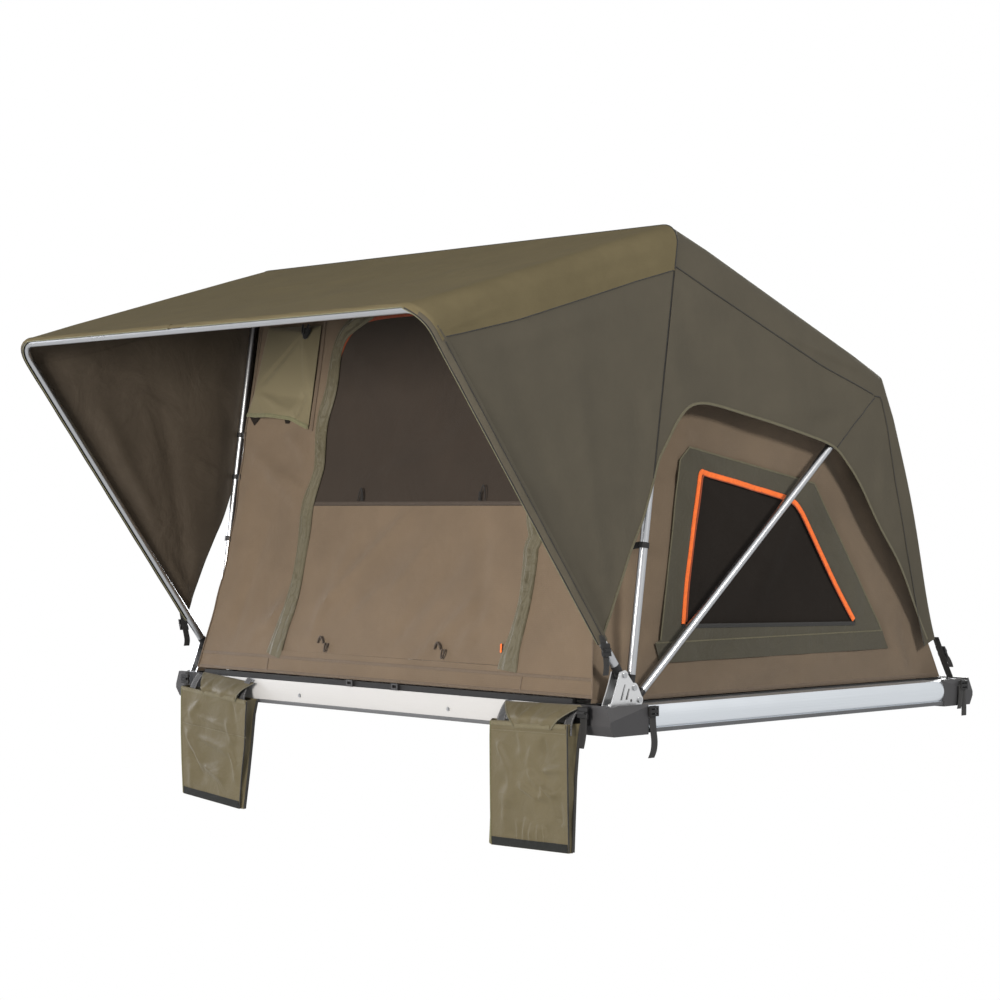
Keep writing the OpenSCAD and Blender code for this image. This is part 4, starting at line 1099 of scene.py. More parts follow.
# Inner tent: side walls with their windows
windowOutline = [(-0.444, 0.309), (-0.425, 0.420), (-0.363, 0.746), (0.035, 0.667), (0.062, 0.658),
                 (0.085, 0.640), (0.342, 0.292)]
patchOutline = [(-0.531, 0.205), (-0.551, 0.262), (-0.532, 0.268), (-0.451, 0.778), (-0.410, 0.816),
                (0.146, 0.717), (0.475, 0.262), (0.505, 0.205)]
wallOutline = [(-0.8035, 0.106), (-0.5325, 1.380), (0.400, 0.996), (0.700, 0.235), (0.772, 0.104)]


def wallRelief(u, v):
    rim = np.clip((v - 0.106) * 18, 0, 1) * np.clip((1.37 - v) * 20, 0, 1)
    made = folds(u, v, [(-0.58, 0.86, -0.42, 0.80, 0.006, 0.012), (-0.60, 0.80, -0.44, 0.72, -0.005, 0.014),
                        (-0.57, 0.92, -0.38, 0.83, 0.005, 0.012), (-0.66, 0.15, -0.60, 0.60, 0.006, 0.022),
                        (-0.70, 0.12, -0.56, 0.34, -0.005, 0.02), (-0.40, 0.12, 0.30, 0.20, 0.004, 0.03),
                        (0.20, 0.84, 0.52, 0.40, -0.004, 0.03), (0.60, 0.12, 0.52, 0.30, 0.005, 0.02),
                        (-0.20, 0.10, 0.10, 0.16, -0.004, 0.02)])
    edge = u - wallFoot[0] - (v - wallFoot[1]) * math.tan(wallLean)
    drawn = drawnIn((v - wallFoot[1]) / math.cos(wallLean)) * (1 - ease(edge / 0.24))
    return (made + uneven(u, v, 31, 0.28, 0.0012)) * rim - 0.0012 - drawn


def patchRelief(u, v):
    made = (folds(u, v, [(-0.385, 0.80, -0.20, 0.72, 0.005, 0.012), (0.02, 0.73, -0.14, 0.70, -0.005, 0.012),
                         (0.13, 0.70, -0.02, 0.68, 0.005, 0.010), (0.16, 0.66, 0.36, 0.36, 0.003, 0.02),
                         (-0.46, 0.32, -0.41, 0.62, 0.003, 0.014)])
            + uneven(u, v, 37, 0.16, 0.0009) + 0.0026)
    return np.maximum(made, wallRelief(u, v) + 0.0020)


def windowRelief(u, v):
    return (-0.006 * hump(u + 0.05, 0.36) * hump(v - 0.49, 0.22) - 0.0012
            + folds(u, v, [(-0.36, 0.72, 0.0, 0.45, 0.003, 0.02), (0.06, 0.62, -0.1, 0.36, 0.003, 0.02)]))


zipWindow = curved([(-0.436, 0.312), (-0.425, 0.420), (-0.400, 0.560), (-0.372, 0.700), (-0.360, 0.742),
                    (-0.330, 0.738), (-0.160, 0.706), (-0.010, 0.676), (0.045, 0.662), (0.080, 0.636),
                    (0.130, 0.570), (0.230, 0.430), (0.332, 0.300)], 0.012)
for side, label in ((1, "right"), (-1, "left")):
    place = sidePlace(side, wallX)
    wall = clothPanel(label + "WallCloth", wallOutline, place, [canvasBrown], holes=[windowOutline],
                      relief=wallRelief)
    flattening(replacing(wall, "base", "canvas_brown", label + "_wall"))
    patch = clothPanel(label + "WindowPatch", patchOutline, place, [canvasOlive], holes=[windowOutline],
                       step=0.014, relief=patchRelief, thickness=0.001)
    replacing(patch, "base", "trim_olive", *(["window_frames"] if side > 0 else []))
    flattening(patch)
    net = clothPanel(label + "WindowNetting", [(-0.005 + p[0] * 0.995, p[1]) for p in windowOutline], place,
                     [nettingOverShadeDark], relief=windowRelief, thickness=0.0008)
    replacing(net, "base", "mesh_dark", *(["window_meshes"] if side > 0 else []))
    flattening(net)
    tapes = {
        "WindowZip": {"line": zipWindow, "width": 0.015, "material": zipOrange, "lift": 0.0006,
                      "thickness": 0.0024, "slot": "trim_olive"},
        "WindowSill": {"line": [(-0.440, 0.306), (0.338, 0.288)], "width": 0.012, "material": bindingBlack,
                       "lift": 0.0004, "thickness": 0.0012, "slot": "mesh_dark"},
        "PatchBandTop": {"line": [(-0.548, 0.262), (0.473, 0.262)], "width": 0.004, "material": bindingDark,
                         "lift": 0.0004, "thickness": 0.0008, "slot": "trim_olive"},
        "PatchHemLeft": {"line": [(-0.530, 0.268), (-0.449, 0.778), (-0.410, 0.814), (0.145, 0.715),
                                  (0.473, 0.262)], "width": 0.005,
                         "material": bindingDark, "lift": 0.0002, "thickness": 0.0009, "slot": "trim_olive"},
        "WallSeamRear": {"line": [(0.151, 0.716), (0.395, 0.985)], "width": 0.004, "material": hemBrown,
                         "lift": -0.0008, "thickness": 0.0008, "slot": "canvas_brown"},
        "WallHem": {"line": [(-0.780, 0.112), (0.760, 0.112)], "width": 0.012, "material": hemBrown,
                    "lift": -0.0006, "thickness": 0.0012, "slot": "canvas_brown"},
    }
    for name, tape in tapes.items():
        made = tapeOn(label + name, tape["line"], place, tape["width"], tape["material"], lift=tape["lift"],
                      thickness=tape["thickness"],
                      relief=wallRelief if name.startswith("Wall") else patchRelief)
        flattening(replacing(made, "base", tape["slot"]))
    # The zip's coil shows as a darker line along the tape's inner edge
    coil = tapeOn(label + "WindowZipCoil", zipWindow + (np.array([-0.06, 0.48]) - zipWindow) * 0.034,
                  place, 0.006, zipRust, lift=0.0002, thickness=0.0018, relief=patchRelief)
    flattening(replacing(coil, "base", "trim_olive"))


# Webbing along a line, with its width as near to the way across as the line lets it be
strapThickness = 0.0016


def webbingAlong(name, line, across, width, material):
    way = unit(np.gradient(line, axis=0))
    across = np.array(across, float)
    across = unit(across - way * (way @ across)[:, None])
    return carried(name, line, across, np.cross(way, across), tapeSection(width, strapThickness), material)


# Corner seams of the front wall, and the straps that tie it to the clips on the ridge hoop's legs
for side, label in ((1, "right"), (-1, "left")):
    corner = [frontPlace(side * (0.9085 - drawnIn(v)), v, 0.0005) for v in edgeRise]
    seam = cordThrough(label + "CornerSeam", corner, 0.0024, hemBrown)
    flattening(replacing(seam, "base", "canvas_brown"))
    for number, along in enumerate((0.395, 0.603, 0.745)):
        y, z = hoops["ridge"]["pivot"] + polar(along, ridgeLeg)
        v = (z - wallFoot[1]) / math.cos(wallLean)
        start = np.array([side * 0.9365, y - 0.004, z])
        end = frontPlace(side * (0.904 - drawnIn(v)), v, 0.001)
        middle = (start + end) / 2 + np.array([0, 0.002, -0.006])
        strap = webbingAlong("%sPoleStrap%d" % (label, number), curved([start, middle, end], 0.006),
                             (0, 0, 1), 0.018, webbingBlack)
        flattening(replacing(strap, "base", "webbing_black"))


# Rear wall and ceiling: sheets across the tent
def acrossSheet(name, first, last, cadNode, sag, within, seed):
    first, last = np.array(first), np.array(last)
    t = np.linspace(0, 1, 34)[:, None]
    x = np.linspace(-wallX + 0.003, wallX - 0.003, 62)[None]
    spread = np.hypot(*(last - first))
    out = np.array([-(last - first)[1], (last - first)[0]]) / spread
    dip = (-sag * np.sin(math.pi * t) * hump(x, wallX)
           + uneven(x, t * spread, seed, 0.4, 0.0015) * np.sin(math.pi * t))
    y = first[0] + (last - first)[0] * t + out[0] * dip
    z = first[1] + (last - first)[1] * t + out[1] * dip
    points = np.stack([x + 0 * t, y + 0 * x, z + 0 * x], -1)
    sheet = clothGrid(name, points, [canvasBrown], within)
    flattening(replacing(sheet, "base", "canvas_brown", cadNode))


acrossSheet("ceilingCloth", (-0.5235, 1.3845), (0.3985, 1.0015), "ceiling", 0.010, (0, -0.1, 0.5), 41)
acrossSheet("rearWallUpperCloth", (0.4035, 0.9985), (0.7035, 0.2365), "rear_wall", 0.008, (0, -0.1, 0.5), 43)
rearFoot = np.stack([np.stack([np.linspace(-0.906, 0.906, 40), np.full(40, y), np.full(40, z)], -1)
                     for y, z in ((0.7035, 0.2365), (0.728, 0.193), (0.752, 0.149), (0.7755, 0.1045))])
foot = clothGrid("rearWallFootCloth", rearFoot, [canvasBrown], (0, -0.1, 0.5))
flattening(replacing(foot, "base", "canvas_brown"))
print("inner tent made")

# Mattress: foam in a knitted cover, crowned, with a piped seam round it
mattress = {"half": (0.895, 0.7175), "seam": 0.0593, "up": 0.040, "down": 0.029}
count = (56, 46)
u = np.sin(np.linspace(-1, 1, count[0]) * math.pi / 2)[:, None] + np.zeros(count)
v = np.sin(np.linspace(-1, 1, count[1]) * math.pi / 2)[None] + np.zeros(count)
fullness = np.clip((1 - u ** 8) * (1 - v ** 8), 0, 1) ** 0.3
px = u * (mattress["half"][0] - 0.009 * (1 - v ** 4))
py = v * (mattress["half"][1] - 0.009 * (1 - u ** 4))
dimple = 0.0022 * (np.cos(px * 2 * math.pi / 0.22) * np.cos(py * 2 * math.pi / 0.22) - 1) * fullness
top = np.stack([px, py, mattress["seam"] + fullness * mattress["up"] + dimple], -1)
bottom = np.stack([px, py, mattress["seam"] - fullness * mattress["down"]], -1)
points = np.concatenate([top.reshape(-1, 3), bottom.reshape(-1, 3)])
grid = np.arange(count[0] * count[1]).reshape(count)
low = grid + grid.size
rim = np.zeros(count, bool)
rim[0] = rim[-1] = rim[:, 0] = rim[:, -1] = True
low[rim] = grid[rim]
faces = []
for i in range(count[0] - 1):
    for j in range(count[1] - 1):
        faces.append((grid[i, j], grid[i + 1, j], grid[i + 1, j + 1], grid[i, j + 1]))
        faces.append((low[i, j], low[i, j + 1], low[i + 1, j + 1], low[i + 1, j]))
mattressPad = addPiece("mattressPad", points, faces, [knitGrey],
                       cloth=np.concatenate([points[:grid.size, :2]] * 2), sharp=80)
replacing(mattressPad, "base", "mattress_fabric", "mattress")
ring = np.concatenate([top[:, 0], top[-1, 1:], top[::-1, -1][1:], top[0, ::-1][1:-1]])
piping = cordThrough("mattressPiping", ring * np.array([1.0008, 1.0008, 1]), 0.0028, bindingBlack,
                     closed=True)
replacing(piping, "base", "webbing_black")
print("mattress made")

# Shoe bags: limp pouches, deeper at the mouth than at the bottom, with bound edges, and a flap from the
# tent's hem. Each plan gives, from the bottom to the mouth, the front face's ends and place, then the rear's.
bagX = 0.737
bagFoot, bagMouth = -0.3045, 0.049
bags = {
    "right": {"sign": 1, "seed": 5, "level": [bagFoot, -0.19, -0.10, 0.0, bagMouth], "tilt": -0.020,
              "frontLeft": [0.569, 0.574, 0.577, 0.580, 0.583],
              "frontRight": [0.880, 0.884, 0.886, 0.888, 0.889],
              "frontAt": [-0.861, -0.868, -0.872, -0.8755, -0.877],
              "rearLeft": [0.549, 0.552, 0.556, 0.548, 0.540],
              "rearRight": [0.8815, 0.8835, 0.885, 0.891, 0.899],
              "rearAt": [-0.8465, -0.843, -0.840, -0.836, -0.832],
              "folds": [(-0.128, -0.010, -0.080, -0.095, 0.008, 0.014),
                        (-0.080, -0.090, -0.086, -0.190, 0.006, 0.016),
                        (-0.042, -0.128, 0.036, -0.163, 0.009, 0.011),
                        (0.036, -0.163, 0.058, -0.146, 0.007, 0.010),
                        (-0.004, -0.082, 0.040, -0.128, 0.008, 0.012),
                        (0.040, -0.128, 0.100, -0.150, 0.008, 0.010),
                        (0.050, -0.084, 0.150, -0.072, 0.007, 0.010),
                        (0.010, -0.020, -0.004, -0.080, 0.005, 0.012),
                        (-0.040, 0.020, -0.030, -0.050, 0.005, 0.012),
                        (0.060, 0.010, 0.050, -0.060, -0.006, 0.012),
                        (-0.060, -0.285, -0.052, -0.225, 0.005, 0.006),
                        (-0.036, -0.290, -0.018, -0.215, 0.006, 0.007),
                        (-0.010, -0.290, 0.004, -0.230, 0.005, 0.006),
                        (0.022, -0.290, 0.030, -0.235, 0.005, 0.006),
                        (0.052, -0.290, 0.050, -0.230, 0.005, 0.007),
                        (-0.110, -0.240, -0.098, -0.130, 0.005, 0.016),
                        (0.120, -0.230, 0.110, -0.150, -0.006, 0.018)],
              "flap": [(-0.137, 0.1005), (0.176, 0.1005), (0.142, 0.079), (0.108, 0.052), (0.089, 0.031),
                       (-0.053, 0.031), (-0.078, 0.062)],
              "flapEdges": [[(-0.136, 0.100), (-0.078, 0.062), (-0.054, 0.032)],
                            [(0.175, 0.100), (0.142, 0.079), (0.108, 0.052), (0.090, 0.032)]],
              "loops": (-0.124, 0.142)},
    "left": {"sign": -1, "seed": 9, "level": [bagFoot, -0.19, -0.10, 0.0, bagMouth], "tilt": 0.080,
             "frontLeft": [-0.906, -0.904, -0.902, -0.897, -0.893],
             "frontRight": [-0.604, -0.582, -0.562, -0.552, -0.544],
             "frontAt": [-0.861, -0.868, -0.872, -0.8755, -0.877],
             "rearLeft": [-0.910, -0.909, -0.908, -0.906, -0.904],
             "rearRight": [-0.594, -0.577, -0.566, -0.558, -0.548],
             "rearAt": [-0.8475, -0.844, -0.841, -0.836, -0.832],
             "folds": [(-0.145, -0.085, -0.050, -0.190, 0.011, 0.016),
                       (-0.050, -0.190, 0.060, -0.222, 0.009, 0.014),
                       (-0.120, -0.150, -0.050, -0.250, -0.009, 0.018),
                       (-0.060, -0.105, 0.110, -0.130, 0.007, 0.012),
                       (0.100, -0.125, 0.130, -0.220, 0.007, 0.012),
                       (0.080, -0.030, 0.120, -0.100, 0.006, 0.012),
                       (-0.070, -0.035, 0.090, -0.060, 0.005, 0.010),
                       (0.110, 0.030, 0.140, -0.060, -0.006, 0.014),
                       (-0.060, 0.010, -0.120, -0.040, 0.006, 0.012),
                       (-0.130, -0.290, -0.120, -0.200, 0.005, 0.016)],
             "flap": [(-0.092, 0.1005), (0.178, 0.1005), (0.155, 0.078), (0.134, 0.037), (-0.028, 0.037),
                      (-0.046, 0.066)],
             "flapEdges": [[(-0.091, 0.100), (-0.046, 0.066), (-0.029, 0.038)],
                           [(0.177, 0.100), (0.155, 0.078), (0.135, 0.038)]], "loops": (-0.118, 0.150)},
}


def makeBag(label, bag):
    body = label + "_shoe_bag"
    middle = bag["sign"] * bagX

    def at(key, z):
        return np.interp(z, bag["level"], bag[key])

    def bagRelief(u, v):
        rim = np.clip((0.150 - np.abs(u)) * 30, 0, 1) * np.clip((v + 0.300) * 30, 0, 1)
        return (folds(u, v, bag["folds"], 1.8) + uneven(u, v, bag["seed"], 0.10, 0.0018)) * rim

    def tilted(u, v):
        return v - bag["tilt"] * u

    def facing(u, v, w):
        return np.stack([middle + u, at("frontAt", v) - w, tilted(u, v)], -1)

    rows = []
    for z in np.linspace(bagFoot, bagMouth, 76):
        x0, x1, front = (at(key, z) for key in ("frontLeft", "frontRight", "frontAt"))
        r0, r1, rear = (at(key, z) for key in ("rearLeft", "rearRight", "rearAt"))
        across = np.linspace(x0, x1, 64) - middle
        face = np.stack([across, front - bagRelief(across, z + 0 * across)], 1)
        t = np.linspace(0, 1, 9)[1:-1]
        pinch = 0.005 * np.sin(math.pi * t) * (1 + 0.6 * math.sin(z * 45 + bag["seed"]))
        right = np.stack([x1 - middle + (r1 - x1) * t - pinch, front + (rear - front) * t], 1)
        left = np.stack([r0 - middle + (x0 - r0) * t + pinch * 0.4, rear + (front - rear) * t], 1)
        back = np.stack([np.linspace(r1, r0, 40) - middle,
                         rear + 0.0015 * np.sin(np.linspace(0, 14, 40) + z * 30)], 1)
        ring = np.concatenate([face, right, back, left])
        rows.append(np.stack([ring[:, 0] + middle, ring[:, 1], tilted(ring[:, 0], z)], 1))
    rows = np.array(rows)
    bottom = rows[0].mean(0)
    inward = [bottom + (rows[0] - bottom) * k + np.array([0, 0, 0.0005]) for k in (0.02, 0.4, 0.8, 0.97)]
    rows = np.concatenate([np.array(inward), rows])
    pouch = clothGrid(label + "BagPouch", rows, [nylonOlive], (middle, -0.855, -0.12), thickness=0.0007,
                      wrap=True)
    replacing(pouch, body, "bag_olive", label + "_bag_pouch")
    # Bound edges: olive cords on the left, black on the right, the rear ones wider. The black is partly the
    # piping's own colour and partly painted shade along the right-hand gussets
    zs = np.linspace(-0.302, 0.046, 48)
    edges = {"EdgeFrontLeft": ("frontLeft", "frontAt", 0.0020, bindingOlive),
             "EdgeFrontRight": ("frontRight", "frontAt", 0.0022, bindingBlack),
             "EdgeRearLeft": ("rearLeft", "rearAt", 0.0032, bindingOlive),
             "EdgeRearRight": ("rearRight", "rearAt", 0.0046, bindingBlack)}
    for name, (x, y, radius, material) in edges.items():
        line = [(at(x, z), at(y, z), tilted(at(x, z) - middle, z)) for z in zs]
        replacing(cordThrough(label + "Bag" + name, line, radius, material), body,
                  "bag_olive" if material is bindingOlive else "webbing_black")
    # Black mesh strip let into the lower edge, so that sand runs out
    x0, x1 = at("frontLeft", -0.29) - middle + 0.004, at("frontRight", -0.29) - middle - 0.004
    z0, z1 = bagFoot + 0.001, -0.280
    strip = clothPanel(label + "BagBottomStrip", [(x0, z0), (x1, z0), (x1, z1), (x0, z1)], facing,
                       [bottomNetting], step=0.008, base=0.0016, thickness=0.0012, relief=bagRelief)
    replacing(strip, body, "webbing_black")
    mouth = [at(k, 0.04) - middle for k in ("frontLeft", "frontRight")]
    seamHeight = -0.070 if label == "left" else 0.022
    for name, height, width in (("MouthHem", 0.041, 0.012), ("MouthSeam", seamHeight, 0.0022)):
        hem = tapeOn(label + "Bag" + name, [(mouth[0] + 0.004, height), (mouth[1] - 0.006, height)], facing,
                     width, bagBinding, lift=0.0010, relief=bagRelief, step=0.008)
        replacing(hem, body, "bag_olive")

    # Flap: from under the tent's hem, over the rail's face, to the pouch's front
    def flapPlace(u, v, w):
        over = np.clip((v - 0.058) / 0.043, 0, 1)
        return np.stack([middle + u, -0.8795 + 0.0475 * over ** 1.4 - w, tilted(u, v)], -1)

    flapFolds = [(-0.070, 0.092, -0.030, 0.045, 0.005, 0.010), (0.02, 0.095, 0.0, 0.045, -0.005, 0.012),
                 (0.110, 0.090, 0.050, 0.044, 0.005, 0.010), (-0.010, 0.096, -0.030, 0.05, 0.004, 0.008)]

    def flapRelief(u, v):
        return folds(u, v, flapFolds, 1.5) * np.clip((v - 0.030) * 60, 0, 1)

    flap = clothPanel(label + "BagFlap", bag["flap"], flapPlace, [nylonOlive], step=0.007, thickness=0.0009,
                      base=0.0012, relief=flapRelief)
    replacing(flap, body, "bag_olive", label + "_bag_flap")
    x1, low = bag["flap"][-3]
    x0 = bag["flap"][-2][0]
    hem = tapeOn(label + "BagFlapHem", [(x0 + 0.001, low + 0.007), (x1 - 0.001, low + 0.007)],
                 flapPlace, 0.013, bagBinding, lift=0.0016, step=0.01)
    replacing(hem, body, "bag_olive")
    for number, line in enumerate(bag["flapEdges"]):
        edge = tapeOn("%sBagFlapEdge%d" % (label, number), line, flapPlace, 0.005, bindingDark, lift=0.0016,
                      step=0.006)
        replacing(edge, body, "bag_olive")
    # Webbing loops that carry the pouch, from the hem track to its mouth
    hung = [(0, -0.8300, 0.099), (-0.004, -0.8400, 0.084), (-0.006, -0.8520, 0.062), (-0.002, -0.8620, 0.044),
            (0, -0.8640, 0.020)]
    for number, dx in enumerate(bag["loops"]):
        line = curved([(middle + dx + x, y, z) for x, y, z in hung], 0.004)
        loop = webbingAlong("%sBagLoop%d" % (label, number), line, (1, 0, 0), 0.032, webbingSheenGrey)
        replacing(loop, body, "webbing_black", *([label + "_bag_loops"] if number == 0 else []))


for label, bag in bags.items():
    makeBag(label, bag)
print("shoe bags made")


# Straps of the travel cover, at the corners, with buckles whose tails hang free
def strapLine(name, line, across, width, body):
    line = np.asarray(line, float)
    way = unit(np.gradient(line, axis=0))
    across = np.repeat([np.asarray(across, float)], len(line), axis=0)
    strap = carried(name, line, across, np.cross(way, across), tapeSection(width, strapThickness),
                    webbingBlack)
    return replacing(strap, body, "webbing_black")


for side, label in ((1, "right"), (-1, "left")):
    straps = {
        "FrontCoverStrap": {"y": -0.658, "points": [(1.0008, 0.0, 0.098), (1.0012, 0.0, 0.060),
                                                    (1.0030, 0.001, 0.030), (1.0042, 0.004, 0.000),
                                                    (1.0030, 0.002, -0.026), (1.0012, -0.006, -0.045)],
                            "node": "cover_straps"},
        "RearCoverStrap": {"y": 0.767, "points": [(1.0008, 0.0, 0.100), (1.0014, 0.0, 0.070),
                                                  (1.0040, 0.0, 0.040), (1.0048, 0.002, 0.015),
                                                  (1.0030, 0.004, -0.013)], "node": None},
        "RearCoverTail": {"y": 0.752, "points": [(1.0040, 0.0, 0.085), (1.0060, -0.002, 0.060),
                                                 (1.0068, -0.006, 0.030), (1.0052, -0.010, 0.010)],
                          "node": None},
    }
    for name, strap in straps.items():
        line = curved([(side * x, strap["y"] + dy, z) for x, dy, z in strap["points"]], 0.008)
        made = strapLine(label + name, line, (0, 1, 0), 0.020 if "Tail" in name else 0.025, "base")
        if side > 0 and strap["node"]:
            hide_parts(strap["node"])
    line = curved([(side * 0.9245, y, z) for y, z in ((0.7300, 0.2325), (0.7520, 0.1940), (0.7800, 0.1450),
                                                      (0.8065, 0.1030))], 0.01)
    rearStrap = strapLine(label + "FlyHoldDown", line, (1, 0, 0), 0.0245, "base")
    if side > 0:
        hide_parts("fly_straps")
    flattening(rearStrap)
print("straps made")


# Cam buckles: a waisted body with a raised bar across it, both with softened edges
def buckle(name, centre, across, up, body, width, length):
    across, up = unit(np.array(across, float)), unit(np.array(up, float))
    out = np.cross(across, up)
    outline = curved([(-0.5, -0.46), (-0.42, -0.5), (0.42, -0.5), (0.5, -0.46), (0.5, -0.14), (0.43, 0),
                      (0.5, 0.14), (0.5, 0.46), (0.42, 0.5), (-0.42, 0.5), (-0.5, 0.46), (-0.5, 0.14),
                      (-0.43, 0), (-0.5, -0.14)], 0.1, True)
    thick = 0.008
    blocks = {"Body": (1.0, 1.0, 0.0, thick), "Bar": (0.80, 0.26, thick * 0.9, thick * 1.7)}
    made = []
    for part, (wide, high, low, top) in blocks.items():
        rings = [outline * (width * wide * k, length * high * k) for k in (0.93, 1.0, 1.0, 0.90)]
        line = [np.array(centre) + out * (low + (top - low) * h) for h in (0, 0.18, 0.8, 1)]
        piece = carried(name + part, line, [across] * 4, [up] * 4, rings, nylonBlack, sharp=30)
        made.append(replacing(piece, body, "black_plastic"))
    return made


for side, label in ((1, "right"), (-1, "left")):
    # From the tip of the awning's side panel, down the leg
    tip = [(side * x, y, z) for x, y, z in ((0.9665, -0.822, 0.296), (0.9680, -0.812, 0.255),
                                            (0.9675, -0.806, 0.228), (0.9655, -0.803, 0.205),
                                            (0.9650, -0.806, 0.186))]
    tipStrap = strapLine(label + "TipStrap", curved(tip, 0.006), (0, 1, 0), 0.022, "awning_hoop")
    flattening(tipStrap)
    for piece in buckle(label + "TipBuckle", (side * 0.969, -0.812, 0.256), (0, side, 0), (0, -0.2, 0.98),
                        "awning_hoop", 0.032, 0.036):
        flattening(piece)
    # Cover strap at the front, beside the shoe bag
    at = 0.916 if side > 0 else -0.918
    drop = [(at, -0.8375, 0.104), (at, -0.8395, 0.084), (at, -0.8400, 0.060)]
    if side > 0:
        drop += [(at, -0.8420, 0.030), (at - 0.004, -0.8425, 0.005), (at - 0.012, -0.8400, -0.014)]
    strapLine(label + "FrontStrap", curved(drop, 0.006), (1, 0, 0), 0.025, "base")
    buckle(label + "FrontBuckle", (at, -0.8405, 0.084 if side > 0 else 0.082), (1, 0, 0), (0, 0, 1), "base",
           0.038, 0.030)
    # On the rear hold-down, with a free tail
    for piece in buckle(label + "RearTipBuckle", (side * 0.9245, 0.7600, 0.1840), (-1, 0, 0), (0, -0.5, 0.87),
                        "base", 0.034, 0.036):
        flattening(piece)
    tail = [(side * x, y, z) for x, y, z in ((0.9250, 0.7700, 0.1800), (0.9330, 0.7790, 0.1680),
                                             (0.9420, 0.7820, 0.1500), (0.9440, 0.7860, 0.1360))]
    rearTail = strapLine(label + "RearTipTail", curved(tail, 0.006), (0.5, 0.5, 0), 0.020, "base")
    flattening(rearTail)
print("buckles made")

# CAD nodes that stay, with their finishes
finishes = {
    "base_panel": laminateGrey, "front_rail": powderWhite, "rear_rail": anodisedEnd,
    "left_rail": anodisedRail, "right_rail": anodisedRail, "front_left_cap": nylonGrey,
    "front_right_cap": nylonGrey, "rear_left_cap": nylonGrey, "rear_right_cap": nylonGrey,
    "rail_screws": boltSteel, "mount_channels": anodisedRail, "left_hinge_bracket": zincSteel,
    "right_hinge_bracket": zincSteel, "bracket_screws": boltSteel, "awning_pivot_bolts": boltSteel,
    "ridge_pivot_bolts": boltSteel, "rear_pivot_bolts": boltSteel, "cover_clips": nylonGrey,
    "hem_track": nylonBlack, "strap_buckles": nylonBlack, "awning_bar": anodisedTube,
    "awning_corners": anodisedTube, "awning_legs": anodisedTube, "awning_knuckles": nylonBlack,
    "ridge_bar": anodisedTube, "ridge_corners": anodisedTube, "ridge_legs": anodisedTube,
    "ridge_knuckles": nylonBlack, "ridge_clips": nylonBlack, "rear_bar": anodisedTube,
    "rear_corners": anodisedTube, "rear_legs": anodisedTube, "rear_knuckles": nylonBlack,
}
for name, material in finishes.items():
    mesh = nodes[name].data
    mesh.materials.clear()
    mesh.materials.append(material)

# Dark grey strip along the lower edge of each rail: painted shade, standing for the underside of the rail's
# profile in shade
for side, label in ((1, "right"), (-1, "left")):
    strip = carried(label + "RailShadeStrip", [(side * 0.9932, -0.672, 0.0298), (side * 0.9932, 0.672, 0.0298)],
                    [(0, 0, 1)] * 2, [(side, 0, 0)] * 2, tapeSection(0.0112, 0.0024), railShadeGrey)
    replacing(strip, "base", "black_plastic")
for end, label in ((-1, "front"), (1, "rear")):
    strip = carried(label + "RailShadeStrip", [(-0.849, end * 0.8182, 0.0298), (0.849, end * 0.8182, 0.0298)],
                    [(0, 0, 1)] * 2, [(0, end, 0)] * 2, tapeSection(0.0112, 0.0012), railShadeGrey)
    replacing(strip, "base", "black_plastic")
print("hardware finished")

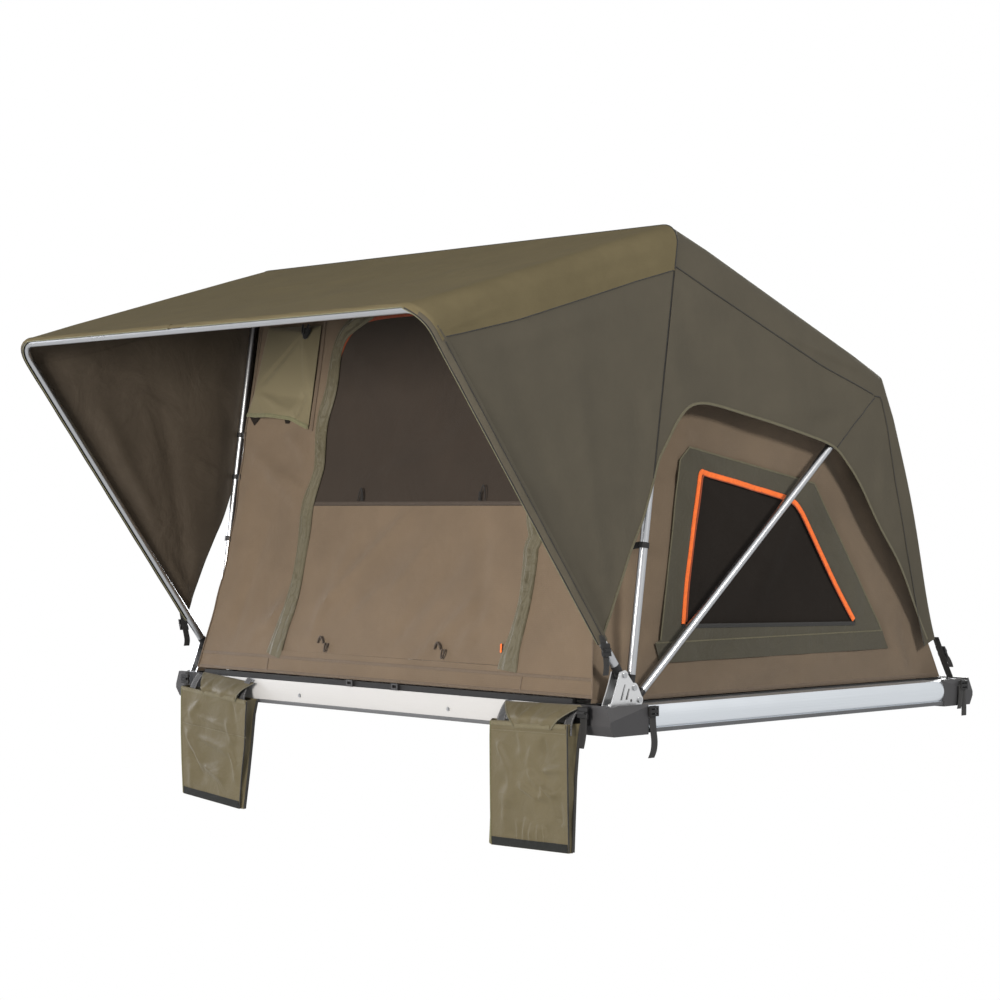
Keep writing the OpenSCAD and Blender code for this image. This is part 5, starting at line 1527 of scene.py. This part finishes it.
# Floor, far below the base as on a vehicle's roof, and soft light
floorLevel, floorReach = -1.45, 300
floorMesh = bpy.data.meshes.new("paleFloor")
floorCorners = [(x * floorReach, y * floorReach, floorLevel) for x, y in ((-1, -1), (1, -1), (1, 1), (-1, 1))]
floorMesh.from_pydata(floorCorners, [], [(0, 1, 2, 3)])
floor = bpy.data.objects.new("paleFloor", floorMesh)
bpy.context.scene.collection.objects.link(floor)
studio = {"wall": "#ffffff", "ambient": 0.22, "floorGlow": 1.0, "floorPaint": "#b4b4b4"}
floorPaint, floorTree, floorShader = newMaterial("mattFloorPaint", Roughness=0.9)
floorShader.inputs["Base Color"].default_value = toLinear(studio["floorPaint"])
lit = addNode(floorTree, "ShaderNodeLightPath").outputs["Is Diffuse Ray"]
glow = addNode(floorTree, "ShaderNodeEmission",
               {"Color": toLinear(studio["wall"]), "Strength": studio["floorGlow"]})
either = addNode(floorTree, "ShaderNodeMixShader", {0: lit, 1: glow.outputs[0], 2: floorShader.outputs[0]})
floorTree.links.new(either.outputs[0], floorTree.nodes["Material Output"].inputs[0])
floorMesh.materials.append(floorPaint)

world = bpy.data.worlds.new("studioWalls")
world.use_nodes = True
# White behind the tent and in its metal, while the walls give only a part of that as soft light
worldTree = world.node_tree
lit = addNode(worldTree, "ShaderNodeLightPath").outputs["Is Diffuse Ray"]
strength = addNode(worldTree, "ShaderNodeMapRange",
                   {"Value": lit, "To Min": 1.0, "To Max": studio["ambient"]})
worldTree.nodes["Background"].inputs[0].default_value = toLinear(studio["wall"])
worldTree.links.new(strength.outputs[0], worldTree.nodes["Background"].inputs[1])
bpy.context.scene.world = world

lamps = {
    "keyLight": {"at": (1.7, -8.5, 1.3), "to": (0, -0.6, 0.6), "size": 2.2, "power": 760,
                 "colour": "#fff8f0"},
    "sideLight": {"at": (6.4, 0.2, 3.6), "to": (0.9, -0.3, 0.8), "size": 1.2, "power": 300,
                  "colour": "#fffbf6"},
    "fillLight": {"at": (-6.5, -2.6, 2.0), "to": (0, -0.3, 0.6), "size": 3.0, "power": 220,
                  "colour": "#f6f8ff"},
    "rearLight": {"at": (-3.0, 7.6, 2.2), "to": (0, 0, 0.7), "size": 3.0, "power": 420, "colour": "#ffffff"},
}
for name, lamp in lamps.items():
    light = bpy.data.lights.new(name, "AREA")
    light.size = lamp["size"]
    light.energy = lamp["power"]
    light.color = toLinear(lamp["colour"])[:3]
    holder = bpy.data.objects.new(name, light)
    holder.location = lamp["at"]
    holder.rotation_euler = (Vector(lamp["to"]) - Vector(lamp["at"])).to_track_quat("-Z", "Y").to_euler()
    bpy.context.scene.collection.objects.link(holder)
bpy.context.scene.view_settings.view_transform = "Standard"
print("stage and lights made")
